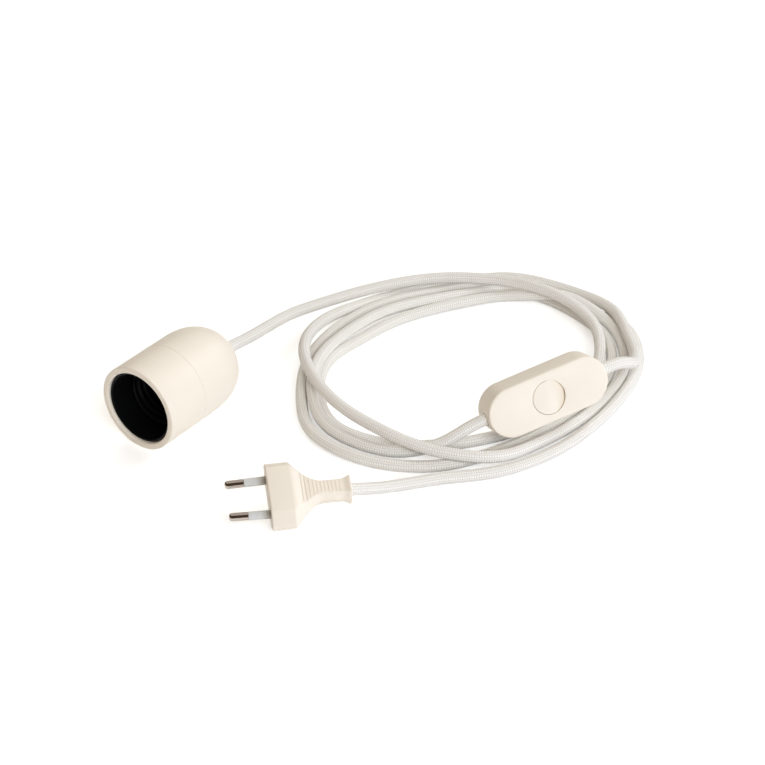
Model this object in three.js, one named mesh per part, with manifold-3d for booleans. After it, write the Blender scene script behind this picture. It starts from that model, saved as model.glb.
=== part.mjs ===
// Table lamp cord set: an E27 lamp holder, a textile covered cord with an in-line rocker switch and a
// flat two-pin plug. Millimetres, +Z up. The holder lies on its side, mouth towards -Y, the origin is on
// the floor below the middle of the holder, and the cord lies beside it in loose turns.
import * as THREE from "three";
import { mergeVertices } from "three/addons/utils/BufferGeometryUtils.js";
import Module from "manifold-3d";

const wasm = await Module();
wasm.setup();

// Gap between pieces that touch.
const fit = 0.3;

// Cord: diameter over the braid, and the insulated cores inside it.
const cordDiameter = 5.8;
const cordSides = 8;
const coreDiameter = 1.8;
const coreSpacing = 2.6;
const cordHoleClearance = 0.4;

// Lamp holder, measured from its mouth along its own axis.
const holderDiameter = 43.5;
const holderLength = 62;
const rimWidth = 3.15;
const mouthRounding = 0.6;
const skirtLength = 24.3;
const spigotLength = 6.5;
const shellWall = 2;
const domeHeight = 25.7;
const domePower = 2.4;
const domeSteps = 8;
const insertWall = 1;
const insertSetback = 1.3;
const flangeThickness = 1.7;
const webPosition = 17;
const webThickness = 2;

// E27 thread: a rounded thread with seven turns to the inch.
const threadDiameter = 27;
const threadDepth = 1.1;
const threadPitch = 25.4 / 7;
const sleeveWall = 1.1;
const sleeveStart = 12.7;
const sleeveFlange = 2;
const carrierThickness = 3;
const contactThickness = 0.5;
const contactWidth = 5;
const contactReach = 5.4;
const terminalOffset = 7;
const terminalSize = new THREE.Vector3(5, 6, 6);
const gripLength = 4;
const gripDiameter = 13;
const cordInsideHolder = 11;
const wiringSpace = 5;
const gripSetback = 1.5;
const rivetDiameter = 2;

// In-line switch: x along the cord, y across, z through its thickness.
const switchLength = 62.5;
const switchWidth = 24.6;
const switchThickness = 15;
const switchRounding = 1.1;
const switchWall = 2.6;
const faceWall = 2;
const plateThickness = 1.8;
const plateMargin = 1.5;
const cordLevel = 0.6;
const cordInsideSwitch = 10;
const rockerDiameter = 16;
const rockerHoleDiameter = 17.4;
const rockerSlope = 7;
const rockerHingeDepth = 3.5;
const rockerThickness = 2.5;
const trunnionDiameter = 2.2;
const trunnionReach = 0.6;
const stemDiameter = 5.2;
const stemLength = 3.2;
const plungerDiameter = 2.3;
const springWire = 0.4;
const springTurns = 4;
const bridgeTilt = 8;
const bridgeLength = 14;
const bridgeWidth = 3.4;
const bridgeThickness = 0.5;
const contactButtonDiameter = 2.4;
const contactButtonHeight = 0.5;
const blockSize = new THREE.Vector3(6, 5.5, 6);
const blockX = 12.5;
const blockInset = 0.9;
const neutralSize = new THREE.Vector3(31, 3.6, 6);
const neutralRelief = { length: 12, floor: 2.4 };
const wireHoleDepth = 4.5;
const stripThickness = 0.4;
const bossDiameter = 4.4;
const bossX = 13.5;
const bossY = -1;
const clampX = 23.5;
const clampSize = new THREE.Vector3(4, 14, 1);
const clampPostDiameter = 3.8;
const clampPostGap = 0.4;

// Screws: shaft diameter, head diameter and head height.
const terminalScrew = { shaft: 2.2, head: 0, headHeight: 0, slot: 0.5 };
const clampScrew = { shaft: 1.6, head: 3, headHeight: 0.8, length: 4.6, slot: 0.5 };
const housingScrew = { shaft: 1.8, head: 3.6, headHeight: 0.8, length: 6.5, slot: 0.6 };
const gripScrew = { shaft: 2, head: 0, headHeight: 0, length: 3, slot: 0.5 };
const holderScrew = { shaft: 2, head: 3.4, headHeight: 1, length: 3.2, slot: 0.6 };
const screwClearance = 0.3;
const screwSink = 0.1;

// Flat plug: x from its face towards the cord.
const plugWidth = 35.3;
const plugThickness = 13.7;
const plugChamfer = 5.6;
const plugBlock = 11;
const plugStep = 5.6;
const plugLength = 38;
const neckStart = 24.5;
const neckEnd = 33;
const neckWidth = 9.8;
const neckThickness = 8;
const tailWidth = 12.6;
const tailThickness = 10.6;
const tailBore = 4;
const ribPitch = 1.72;
const ribCount = 11;
const ribStart = 15.4;
const ribDepth = 0.45;
const pinDiameter = 4;
const pinLength = 19;
const pinSpacing = 18.6;
const pinTipSpacing = 17.5;
const pinBareLength = 8.8;
const pinWall = 0.45;
const pinRoot = 7;
const sleeveRoot = 3;

// Where the pieces lie: holder on its side, switch propped on the turns, plug rolled on its edge.
const coilCentre = new THREE.Vector2(95.8, 106.3);
const switchPlace = { x: 149.1, y: 90.7, z: 24, turn: 60, rise: 11.3, roll: 69.7 };
const plugPlace = { x: 84.4, y: -37.7, z: 11, turn: 46, roll: 20 };
const holderLead = 4;
const switchLead = 9;
const plugLead = 3;

const degrees = THREE.MathUtils.degToRad;
const ivory = new THREE.MeshStandardMaterial({ color: 0xf1e8d8, roughness: 0.55, metalness: 0 });
const black = new THREE.MeshStandardMaterial({ color: 0x121213, roughness: 0.5, metalness: 0 });
const brass = new THREE.MeshStandardMaterial({ color: 0xc9a452, roughness: 0.35, metalness: 1 });
const nickel = new THREE.MeshStandardMaterial({ color: 0xb9b6b0, roughness: 0.3, metalness: 1 });
const steel = new THREE.MeshStandardMaterial({ color: 0x8e9196, roughness: 0.4, metalness: 1 });
const white = new THREE.MeshStandardMaterial({ color: 0xd9dadb, roughness: 0.5, metalness: 0 });
const braid = new THREE.MeshStandardMaterial({ color: 0xe9e4da, roughness: 0.9, metalness: 0 });
const brown = new THREE.MeshStandardMaterial({ color: 0x5d3a22, roughness: 0.5, metalness: 0 });
const blue = new THREE.MeshStandardMaterial({ color: 0x2c5fa8, roughness: 0.5, metalness: 0 });

// Solids for cuts and joins.
function solidOf(geometry) {
  const bare = geometry.clone();
  bare.deleteAttribute("normal");
  bare.deleteAttribute("uv");
  const merged = mergeVertices(bare, 1e-4);
  return new wasm.Manifold(
    new wasm.Mesh({
      numProp: 3,
      vertProperties: new Float32Array(merged.attributes.position.array),
      triVerts: new Uint32Array(merged.index.array),
    }),
  );
}

function geometryOf(solid) {
  const mesh = solid.getMesh();
  const geometry = new THREE.BufferGeometry();
  geometry.setAttribute("position", new THREE.BufferAttribute(mesh.vertProperties, 3));
  geometry.setIndex(new THREE.BufferAttribute(mesh.triVerts, 1));
  const flat = geometry.toNonIndexed();
  flat.computeVertexNormals();
  return flat;
}

function combine(body, added, removed) {
  let solid = solidOf(body);
  for (const piece of added) solid = solid.add(solidOf(piece));
  for (const piece of removed) solid = solid.subtract(solidOf(piece));
  return geometryOf(solid);
}

function piece(name, geometry, material) {
  const mesh = new THREE.Mesh(geometry, material);
  mesh.name = name;
  return mesh;
}

// A revolved solid about Y: the outline runs from the low inner point outwards and up.
function revolve(outline, segments = 40) {
  const points = outline.map(([r, y]) => new THREE.Vector2(r, y));
  return new THREE.LatheGeometry(points, segments);
}

function ring(inner, outer, from, to, segments = 24) {
  return revolve([[inner, from], [outer, from], [outer, to], [inner, to], [inner, from]], segments);
}

// Cylinders along each axis, between two stations.
function rodZ(radius, from, to, x = 0, y = 0, segments = 12) {
  const rod = new THREE.CylinderGeometry(radius, radius, to - from, segments);
  return rod.rotateX(Math.PI / 2).translate(x, y, (from + to) / 2);
}

function rodX(radius, from, to, y = 0, z = 0, segments = 16) {
  const rod = new THREE.CylinderGeometry(radius, radius, to - from, segments);
  return rod.rotateZ(-Math.PI / 2).translate((from + to) / 2, y, z);
}

function rodY(radius, from, to, x = 0, z = 0, segments = 16) {
  const rod = new THREE.CylinderGeometry(radius, radius, to - from, segments);
  return rod.translate(x, (from + to) / 2, z);
}

function box(width, depth, height, x = 0, y = 0, z = 0) {
  return new THREE.BoxGeometry(width, depth, height).translate(x, y, z);
}

// A slotted screw along -Z: its head, or its slotted end, is at z = 0 and its point is below.
function screw({ shaft, head, headHeight, length, slot }) {
  const top = head > 0 ? head : shaft;
  const outline = [[0, -length], [shaft / 2, -length]];
  if (head > 0) outline.push([shaft / 2, -headHeight], [head / 2, -headHeight]);
  outline.push([top / 2, 0], [0, 0]);
  const body = revolve(outline, 10).rotateX(Math.PI / 2);
  return combine(body, [], [box(top + 1, slot, slot * 1.2, 0, 0, 0)]);
}

// A strip bent along a line in the XZ plane, centred on y = 0.
function bentStrip(line, thickness, width) {
  const half = thickness / 2;
  const points = line.map(([x, z]) => new THREE.Vector2(x, z));
  const side = (sign) =>
    points.map((point, i) => {
      const before = points[Math.max(i - 1, 0)];
      const after = points[Math.min(i + 1, points.length - 1)];
      const a = point.clone().sub(before).normalize();
      const b = after.clone().sub(point).normalize();
      const along = a.add(b).normalize();
      const segment = (i === 0 ? after.clone().sub(point) : point.clone().sub(before)).normalize();
      const mitre = half / Math.max(0.5, along.dot(segment));
      return point.clone().add(new THREE.Vector2(-along.y, along.x).multiplyScalar(sign * mitre));
    });
  const outline = new THREE.Shape([...side(-1), ...side(1).reverse()]);
  const strip = new THREE.ExtrudeGeometry(outline, { depth: width, bevelEnabled: false });
  return strip.rotateX(Math.PI / 2).translate(0, width / 2, 0);
}

// A tube along a smooth curve whose steps fall on the points that it is given.
class Route extends THREE.CatmullRomCurve3 {
  getPointAt(u, target) {
    return this.getPoint(u, target);
  }
  getTangentAt(u, target) {
    return this.getTangent(u, target);
  }
}

function tube(points, radius, sides, stepsPerPoint = 1) {
  const section = new THREE.Shape();
  for (let i = 0; i < sides; i++) {
    const angle = ((i + 0.5) / sides) * 2 * Math.PI;
    const corner = [radius * Math.cos(angle), radius * Math.sin(angle)];
    if (i === 0) section.moveTo(...corner);
    else section.lineTo(...corner);
  }
  section.closePath();
  const extrudePath = new Route(points, false, "centripetal");
  const steps = (points.length - 1) * stepsPerPoint;
  return new THREE.ExtrudeGeometry(section, { steps, extrudePath, bevelEnabled: false });
}

// Rounded and plain slabs with half-round ends, lying in the XY plane.
function obround(length, width) {
  const radius = width / 2;
  const straight = length / 2 - radius;
  const shape = new THREE.Shape();
  shape.moveTo(-straight, -radius);
  shape.lineTo(straight, -radius);
  shape.absarc(straight, 0, radius, -Math.PI / 2, Math.PI / 2, false);
  shape.lineTo(-straight, radius);
  shape.absarc(-straight, 0, radius, Math.PI / 2, Math.PI * 1.5, false);
  return shape;
}

function slab(length, width, from, to, rounding = 0) {
  const shape = obround(length - 2 * rounding, width - 2 * rounding);
  const options = {
    depth: to - from - 2 * rounding,
    curveSegments: Math.round(Math.sqrt(width) * 1.9),
    bevelEnabled: rounding > 0,
    bevelThickness: rounding,
    bevelSize: rounding,
    bevelSegments: 2,
  };
  return new THREE.ExtrudeGeometry(shape, options).translate(0, 0, from + rounding);
}

// Lamp holder: every piece is round about Y, with y = 0 at the mouth.
const holderRadius = holderDiameter / 2;
const mouthRadius = holderRadius - rimWidth;
const capBore = holderRadius - shellWall;
const spigotRadius = capBore - fit;
const spigotEnd = skirtLength + spigotLength;
const insertRadius = mouthRadius - fit;
const insertBore = insertRadius - insertWall;
const flangeEnd = spigotEnd + fit + flangeThickness;
const shoulder = flangeEnd + fit;
const cordEndY = holderLength - cordInsideHolder;
const terminalY = cordEndY - wiringSpace - terminalSize.y / 2;
const carrierEnd = terminalY - terminalSize.y / 2 - fit;
const carrierStart = carrierEnd - carrierThickness;
const sleeveEnd = carrierStart - fit;
const sleeveRadius = threadDiameter / 2 + sleeveWall;
const insertEnd = carrierEnd + 1;
const neckRadius = insertRadius + fit;
const cordHoleRadius = cordDiameter / 2 + cordHoleClearance;
const innerDomeStart = insertEnd + fit;
const innerDomeEnd = holderLength - 1.5 * shellWall;
const domeStart = holderLength - domeHeight;

function dome(radius, start, end, holeRadius, steps = domeSteps) {
  const last = Math.acos(Math.pow(holeRadius / radius, domePower / 2));
  const height = (end - start) / Math.pow(Math.sin(last), 2 / domePower);
  return Array.from({ length: steps + 1 }, (_, i) => {
    const angle = (last * i) / steps;
    const r = radius * Math.pow(Math.cos(angle), 2 / domePower);
    const y = start + height * Math.pow(Math.sin(angle), 2 / domePower);
    return [r, y];
  });
}

function holderCap() {
  const seam = skirtLength + fit;
  const outside = [[holderRadius, seam], ...dome(holderRadius, domeStart, holderLength, cordHoleRadius)];
  const inside = dome(neckRadius, innerDomeStart, innerDomeEnd, cordHoleRadius, 5).reverse();
  const step = [[neckRadius, shoulder], [capBore, shoulder], [capBore, seam], [holderRadius, seam]];
  return revolve([...outside, ...inside, ...step]);
}

function holderSkirt() {
  return revolve(
    [
      [mouthRadius, mouthRounding],
      [mouthRadius + mouthRounding, 0],
      [holderRadius - mouthRounding, 0],
      [holderRadius, mouthRounding],
      [holderRadius, skirtLength],
      [spigotRadius, skirtLength],
      [spigotRadius, spigotEnd],
      [mouthRadius, spigotEnd],
      [mouthRadius, mouthRounding],
    ],
    42,
  );
}

function holderInsert() {
  const webBore = sleeveRadius + fit;
  const flangeStart = spigotEnd + fit;
  return revolve(
    [
      [insertBore, insertSetback],
      [insertRadius, insertSetback],
      [insertRadius, flangeStart],
      [spigotRadius, flangeStart],
      [spigotRadius, flangeEnd],
      [insertRadius, flangeEnd],
      [insertRadius, insertEnd],
      [insertBore, insertEnd],
      [insertBore, webPosition + webThickness],
      [webBore, webPosition + webThickness],
      [webBore, webPosition],
      [insertBore, webPosition],
      [insertBore, insertSetback],
    ],
    34,
  );
}

// The sleeve's bore is a true helical thread: its radius swings once for each pitch and each turn.
function threadSleeve() {
  const around = 24;
  const rows = Math.round(((sleeveEnd - sleeveStart) / threadPitch) * 4);
  const outer = sleeveRadius;
  const runOut = threadPitch / 2;
  const positions = [];
  const index = [];
  const columns = rows + 1;
  const flangeRadius = insertBore - fit;
  const flangeStart = webPosition + webThickness + fit;
  const outside = [
    [outer, sleeveEnd],
    [outer, flangeStart + sleeveFlange],
    [flangeRadius, flangeStart + sleeveFlange],
    [flangeRadius, flangeStart],
    [outer, flangeStart],
    [outer, sleeveStart],
  ];
  for (let j = 0; j < around; j++) {
    const angle = (j / around) * 2 * Math.PI;
    for (let i = 0; i < columns; i++) {
      const y = THREE.MathUtils.lerp(sleeveStart, sleeveEnd, i / rows);
      const fade = Math.min(1, (y - sleeveStart) / runOut, (sleeveEnd - y) / runOut);
      const wave = (1 + Math.cos(2 * Math.PI * (y / threadPitch) - angle)) / 2;
      const r = threadDiameter / 2 - threadDepth * wave * fade;
      positions.push(r * Math.cos(angle), y, r * Math.sin(angle));
    }
    for (const [r, y] of outside) positions.push(r * Math.cos(angle), y, r * Math.sin(angle));
  }
  const loop = columns + outside.length;
  for (let j = 0; j < around; j++) {
    const next = (j + 1) % around;
    for (let i = 0; i < loop; i++) {
      const k = (i + 1) % loop;
      const a = j * loop + i;
      const b = j * loop + k;
      const c = next * loop + k;
      const d = next * loop + i;
      index.push(a, c, b, a, d, c);
    }
  }
  const geometry = new THREE.BufferGeometry();
  geometry.setAttribute("position", new THREE.Float32BufferAttribute(positions, 3));
  geometry.setIndex(index);
  geometry.computeVertexNormals();
  return geometry;
}

function contactCarrier() {
  const radius = insertBore - fit;
  const outline = [[0, carrierStart], [radius, carrierStart], [radius, carrierEnd], [0, carrierEnd]];
  const disc = revolve(outline, 40);
  const rivetHoles = [-1, 1].map((side) =>
    rodY(rivetDiameter / 2, carrierStart - 1, carrierEnd + 1, side * terminalOffset),
  );
  return combine(disc, [], rivetHoles);
}

// The two bulb contacts are bent strips on the carrier, each with a foot below its terminal.
function holderContact(line) {
  return bentStrip(line, contactThickness, contactWidth).rotateX(-Math.PI / 2);
}

const contactFoot = carrierStart - fit - contactThickness / 2;

function centreContactLine() {
  const tip = contactFoot - contactReach;
  return [
    [terminalOffset + 1.5, contactFoot],
    [-2.5, contactFoot],
    [-3.8, contactFoot - 1.2],
    [0.4, tip],
    [2.6, tip + 0.6],
  ];
}

function sideContactLine() {
  const reach = threadDiameter / 2 - threadDepth - 1;
  return [
    [1 - terminalOffset, contactFoot],
    [-reach + 0.4, contactFoot],
    [-reach, contactFoot - 3.4],
    [-reach + 1, contactFoot - 4.8],
  ];
}

function holderTerminal(side) {
  const x = side * terminalOffset;
  const { x: width, y: depth, z: height } = terminalSize;
  const block = box(width, depth, height, x, terminalY, 0);
  const wireHole = rodY(coreDiameter / 2 + fit, terminalY - 1, terminalY + depth, x, 0);
  const screwHole = rodZ(holderScrew.shaft / 2 + screwClearance, 0, height, x, terminalY);
  return combine(block, [], [wireHole, screwHole]);
}

function holderCore(side) {
  const y = terminalY + terminalSize.y / 2;
  const points = [
    [side * coreSpacing * 0.5, cordEndY - fit, 0],
    [side * coreSpacing * 0.5, cordEndY - 1.2, 0],
    [side * terminalOffset, y + 1.8, 0],
    [side * terminalOffset, y + 0.6, 0],
    [side * terminalOffset, terminalY, 0],
  ];
  return tube(points.map((p) => new THREE.Vector3(...p)), coreDiameter / 2, 6, 2);
}

function cordGrip() {
  const from = cordEndY + gripSetback;
  const body = ring(cordDiameter / 2 + fit, gripDiameter / 2, from, from + gripLength, 32);
  const screwHole = rodZ(gripScrew.shaft / 2 + screwClearance, 0, gripDiameter, 0, from + gripLength / 2);
  return combine(body, [], [screwHole]);
}

function lampHolder() {
  const holder = new THREE.Group();
  holder.position.set(0, -holderLength / 2, holderRadius);
  holder.add(
    piece("holder_cap", holderCap(), ivory),
    piece("holder_skirt", holderSkirt(), ivory),
    piece("holder_insert", holderInsert(), black),
    piece("thread_sleeve", threadSleeve(), black),
    piece("contact_carrier", contactCarrier(), black),
    piece("centre_contact", holderContact(centreContactLine()), brass),
    piece("side_contact", holderContact(sideContactLine()), brass),
    piece("cord_grip", cordGrip(), white),
  );
  [-1, 1].forEach((side, i) => {
    holder.add(piece(`holder_terminal_${i + 1}`, holderTerminal(side), brass));
    holder.add(piece(`holder_core_${i + 1}`, holderCore(side), i ? brown : blue));
    const bolt = piece(`holder_terminal_screw_${i + 1}`, screw(holderScrew), steel);
    bolt.position.set(side * terminalOffset, terminalY, terminalSize.z / 2 + fit + holderScrew.headHeight);
    holder.add(bolt);
  });
  const gripBolt = piece("cord_grip_screw", screw(gripScrew), steel);
  const gripHeight = cordDiameter / 2 + fit + gripScrew.length;
  gripBolt.position.set(0, cordEndY + gripSetback + gripLength / 2, gripHeight);
  holder.add(gripBolt);
  return holder;
}

// In-line switch: the face is at +Z and the screwed back plate at -Z.
const faceZ = switchThickness / 2;
const ceiling = faceZ - faceWall;
const plateTop = plateThickness - faceZ;
const ledge = plateTop + fit;
const cavityWidth = switchWidth - 2 * switchWall;
const hingeZ = faceZ - rockerHingeDepth;
const postEnd = cordLevel - cordDiameter / 2;
const clampTop = cordLevel - cordDiameter / 2 - fit;
const cordEndX = switchLength / 2 - cordInsideSwitch;
const plungerTip = hingeZ - stemLength - 1.2;
const bridgeTop = plungerTip - fit;
const bridgeBottom = bridgeTop - bridgeThickness;
const stripZ = plateTop + fit + stripThickness / 2;
const blockY = cavityWidth / 2 - blockInset - blockSize.y / 2;
const neutralY = fit + neutralSize.y / 2 - cavityWidth / 2;
const blockZ = plateTop + fit + blockSize.z / 2;
const wireZ = blockZ + 0.6;
const grubZ = blockZ - blockSize.z / 2 + 0.1;
const grubLength = wireZ - coreDiameter / 2 - fit - grubZ;

const bossPlaces = [-1, 1].map((side) => [side * bossX, bossY]);
const postY = cordDiameter / 2 + clampPostGap + clampPostDiameter / 2;
const postPlaces = [-1, 1].flatMap((end) => [-1, 1].map((side) => [end * clampX, side * postY]));

function switchHousing() {
  const shell = slab(switchLength, switchWidth, -faceZ, faceZ, switchRounding);
  const cavity = slab(switchLength - 2 * switchWall, cavityWidth, ledge, ceiling);
  const recess = slab(switchLength - 2 * plateMargin, switchWidth - 2 * plateMargin, -faceZ - 1, ledge);
  const opening = rodZ(rockerHoleDiameter / 2, ceiling - 1, faceZ + 1, 0, 0, 40);
  const half = switchLength / 2 + 1;
  const cordWay = rodX(cordHoleRadius, -half, half, 0, cordLevel, 16);
  const bearingReach = cavityWidth / 2 + trunnionReach + fit;
  const bearing = rodY(trunnionDiameter / 2 + fit, -bearingReach, bearingReach, 0, hingeZ, 12);
  const bosses = bossPlaces.map(([x, y]) => rodZ(bossDiameter / 2, ledge, ceiling + 0.5, x, y));
  const posts = postPlaces.map(([x, y]) => rodZ(clampPostDiameter / 2, postEnd, ceiling + 0.5, x, y));
  const bossHoles = bossPlaces.map(([x, y]) =>
    rodZ(housingScrew.shaft / 2 + screwClearance, ledge - 1, ledge + housingScrew.length, x, y, 12),
  );
  const postHoles = postPlaces.map(([x, y]) =>
    rodZ(clampScrew.shaft / 2 + screwClearance, postEnd - 1, postEnd + clampScrew.length, x, y, 12),
  );
  const hollow = combine(shell, [], [cavity, recess, opening, cordWay, bearing]);
  return combine(hollow, [...bosses, ...posts], [...bossHoles, ...postHoles]);
}

function switchBack() {
  const margin = plateMargin + fit;
  const plate = slab(switchLength - 2 * margin, switchWidth - 2 * margin, -faceZ, plateTop);
  const sinkTop = -faceZ + screwSink + housingScrew.headHeight + fit;
  const holes = bossPlaces.flatMap(([x, y]) => [
    rodZ(housingScrew.shaft / 2 + screwClearance, -faceZ - 1, plateTop + 1, x, y, 12),
    rodZ(housingScrew.head / 2 + screwClearance, -faceZ - 1, sinkTop, x, y, 16),
  ]);
  return combine(plate, [], holes);
}

// The rocker is drawn level, and its group holds it tipped onto its right facet.
function rockerBody() {
  const radius = rockerDiameter / 2;
  const underside = faceZ - rockerThickness;
  const disc = rodZ(radius, underside, faceZ, 0, 0, 40);
  const roofs = [-1, 1].map((side) => {
    const cutter = box(2 * radius, 2 * radius + 2, 4, side * radius, 0, 2);
    return cutter.rotateY(degrees(side * rockerSlope)).translate(0, 0, faceZ);
  });
  const axleEnd = cavityWidth / 2 + trunnionReach;
  const axle = rodY(trunnionDiameter / 2, -axleEnd, axleEnd, 0, hingeZ);
  const web = box(4.4, rockerDiameter - 2, underside - hingeZ + 0.8, 0, 0, (underside + hingeZ) / 2);
  const stem = rodZ(stemDiameter / 2, hingeZ - stemLength, underside + 0.2, 0, 0, 24);
  const bore = rodZ(plungerDiameter / 2 + fit, hingeZ - stemLength - 1, underside - 0.6, 0, 0, 16);
  return combine(combine(disc, [axle, web, stem], [bore]), [], roofs);
}

function rockerPlunger() {
  const radius = plungerDiameter / 2;
  const top = hingeZ - stemLength + 1;
  const outline = [[0, plungerTip], [radius * 0.55, plungerTip + 0.12], [radius * 0.9, plungerTip + 0.5]];
  outline.push([radius, plungerTip + 1], [radius, top], [0, top]);
  return revolve(outline, 16).rotateX(Math.PI / 2);
}

function plungerSpring() {
  const bottom = hingeZ - stemLength + 1 + fit + springWire / 2;
  const top = faceZ - rockerThickness - 0.6 - fit - springWire / 2;
  const radius = plungerDiameter / 2 - springWire / 2;
  const pointsPerTurn = 7;
  const count = springTurns * pointsPerTurn;
  const points = Array.from({ length: count + 1 }, (_, i) => {
    const angle = (i / pointsPerTurn) * 2 * Math.PI;
    const z = THREE.MathUtils.lerp(bottom, top, i / count);
    return new THREE.Vector3(radius * Math.cos(angle), radius * Math.sin(angle), z);
  });
  return tube(points, springWire / 2, 4);
}

// A see-saw strip with a rib below its middle and a contact button below each end.
function contactBridge() {
  const strip = box(bridgeLength, bridgeWidth, bridgeThickness, 0, 0, bridgeTop - bridgeThickness / 2);
  const rib = rodY(0.5, -bridgeWidth / 2 + 0.1, bridgeWidth / 2 - 0.1, 0, bridgeBottom, 12);
  const buttonX = bridgeLength / 2 - contactButtonDiameter / 2 + 0.1;
  const buttons = [-1, 1].map((side) =>
    rodZ(contactButtonDiameter / 2, bridgeBottom - contactButtonHeight, bridgeBottom + 0.1, side * buttonX),
  );
  return combine(strip, [rib, ...buttons], []);
}

function terminalBlock(side) {
  const { x: length, y: width, z: height } = blockSize;
  const outer = side * (blockX + length / 2);
  const block = box(length, width, height, side * blockX, blockY, blockZ);
  const [from, to] = [outer - side * wireHoleDepth, outer + side].sort((a, b) => a - b);
  const wireHole = rodX(coreDiameter / 2 + fit, from, to, blockY, wireZ, 12);
  const screwRadius = terminalScrew.shaft / 2 + screwClearance;
  const screwHole = rodZ(screwRadius, blockZ - height, wireZ, side * blockX, blockY, 12);
  return { block, holes: [wireHole, screwHole] };
}

// A flat strip on the plate, from the bridge's line to the middle of the terminal block.
function contactStrip(from, to) {
  const width = blockY + bridgeWidth / 2;
  return box(to - from, width, stripThickness, (from + to) / 2, width / 2 - bridgeWidth / 2, stripZ);
}

function liveIn() {
  const { block, holes } = terminalBlock(1);
  const strip = contactStrip(-1.2, blockX);
  const knifeTop = bridgeBottom - 0.5 - fit;
  const knife = box(1, bridgeWidth - 0.4, knifeTop - stripZ, 0, 0, (knifeTop + stripZ) / 2);
  return combine(block, [strip, knife], [...holes, notchForBoss(1)]);
}

function liveOut() {
  const { block, holes } = terminalBlock(-1);
  const inner = -bridgeLength / 2 + 3;
  const strip = contactStrip(-blockX, inner);
  const reach = bridgeLength / 2 - contactButtonDiameter / 2 + 0.1;
  const drop = reach * Math.sin(degrees(bridgeTilt));
  const top = bridgeBottom - contactButtonHeight - drop - 0.2 - fit;
  const button = rodZ(contactButtonDiameter / 2, stripZ, top, -reach, 0);
  return combine(block, [strip, button], [...holes, notchForBoss(-1)]);
}

function notchForBoss(side) {
  return rodZ(bossDiameter / 2 + fit, -faceZ, stripZ + 1, side * bossX, bossY, 24);
}

function neutralBar() {
  const { x: length, y: width, z: height } = neutralSize;
  const y = neutralY;
  const middle = plateTop + fit + height / 2;
  const bar = box(length, width, height, 0, y, middle);
  const relief = box(neutralRelief.length, width + 1, height, 0, y, middle + neutralRelief.floor);
  const holes = [-1, 1].flatMap((side) => {
    const [from, to] = [side * (length / 2 - 6), side * (length / 2 + 1)].sort((a, b) => a - b);
    return [
      rodX(coreDiameter / 2 + fit, from, to, y, wireZ, 12),
      rodZ(terminalScrew.shaft / 2 + screwClearance, -faceZ, wireZ, side * blockX, y, 12),
    ];
  });
  return combine(bar, [], [relief, ...holes]);
}

function switchCore(end, side) {
  const targetY = side > 0 ? blockY : neutralY;
  const mouth = side > 0 ? blockX + blockSize.x / 2 : neutralSize.x / 2;
  const startY = (side * coreSpacing) / 2;
  const points = [
    [cordEndX - fit, startY, cordLevel],
    [cordEndX - 1, startY, cordLevel],
    [(cordEndX + mouth) / 2, (startY + targetY) / 2, (cordLevel + wireZ) / 2],
    [mouth + 0.6, targetY, wireZ],
    [mouth - 0.6, targetY, wireZ],
    [mouth - 3, targetY, wireZ],
  ];
  return tube(points.map(([x, y, z]) => new THREE.Vector3(end * x, y, z)), coreDiameter / 2, 6, 2);
}

function cordClamp(end) {
  const { x: length, y: width, z: height } = clampSize;
  const z = clampTop - height / 2;
  const strap = slab(width, length, z - height / 2, z + height / 2);
  strap.rotateZ(Math.PI / 2).translate(end * clampX, 0, 0);
  const holes = [-1, 1].map((side) =>
    rodZ(clampScrew.shaft / 2 + screwClearance, z - height, z + height, end * clampX, side * postY, 12),
  );
  return combine(strap, [], holes);
}

function inlineSwitch() {
  const body = new THREE.Group();
  const { x, y, z, turn, rise, roll } = switchPlace;
  body.position.set(x, y, z);
  body.rotation.set(degrees(roll), -degrees(rise), degrees(turn), "ZYX");
  body.add(
    piece("switch_housing", switchHousing(), ivory),
    piece("switch_back", switchBack(), ivory),
    piece("live_terminal_in", liveIn(), brass),
    piece("live_terminal_out", liveOut(), brass),
    piece("neutral_bar", neutralBar(), brass),
  );
  const tipped = (name, geometry, material, pivotZ, angle) => {
    const mesh = piece(name, geometry.translate(0, 0, -pivotZ), material);
    mesh.position.z = pivotZ;
    mesh.rotation.y = degrees(angle);
    return mesh;
  };
  body.add(
    tipped("rocker", rockerBody(), ivory, hingeZ, rockerSlope),
    tipped("rocker_plunger", rockerPlunger(), steel, hingeZ, rockerSlope),
    tipped("plunger_spring", plungerSpring(), steel, hingeZ, rockerSlope),
    tipped("contact_bridge", contactBridge(), brass, bridgeBottom, -bridgeTilt),
  );
  [[1, 1], [-1, 1], [1, -1], [-1, -1]].forEach(([end, side], i) => {
    body.add(piece(`switch_core_${i + 1}`, switchCore(end, side), side > 0 ? brown : blue));
    const grub = piece(`terminal_screw_${i + 1}`, screw({ ...terminalScrew, length: grubLength }), steel);
    grub.position.set(end * blockX, side > 0 ? blockY : neutralY, grubZ);
    grub.rotation.x = Math.PI;
    body.add(grub);
  });
  [-1, 1].forEach((end, i) => body.add(piece(`cord_clamp_${i + 1}`, cordClamp(end), steel)));
  postPlaces.forEach(([px, py], i) => {
    const bolt = piece(`clamp_screw_${i + 1}`, screw(clampScrew), steel);
    bolt.position.set(px, py, clampTop - clampSize.z - fit - clampScrew.headHeight);
    bolt.rotation.x = Math.PI;
    body.add(bolt);
  });
  bossPlaces.forEach(([px, py], i) => {
    const bolt = piece(`housing_screw_${i + 1}`, screw(housingScrew), steel);
    bolt.position.set(px, py, -faceZ + screwSink);
    bolt.rotation.x = Math.PI;
    body.add(bolt);
  });
  return body;
}

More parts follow.
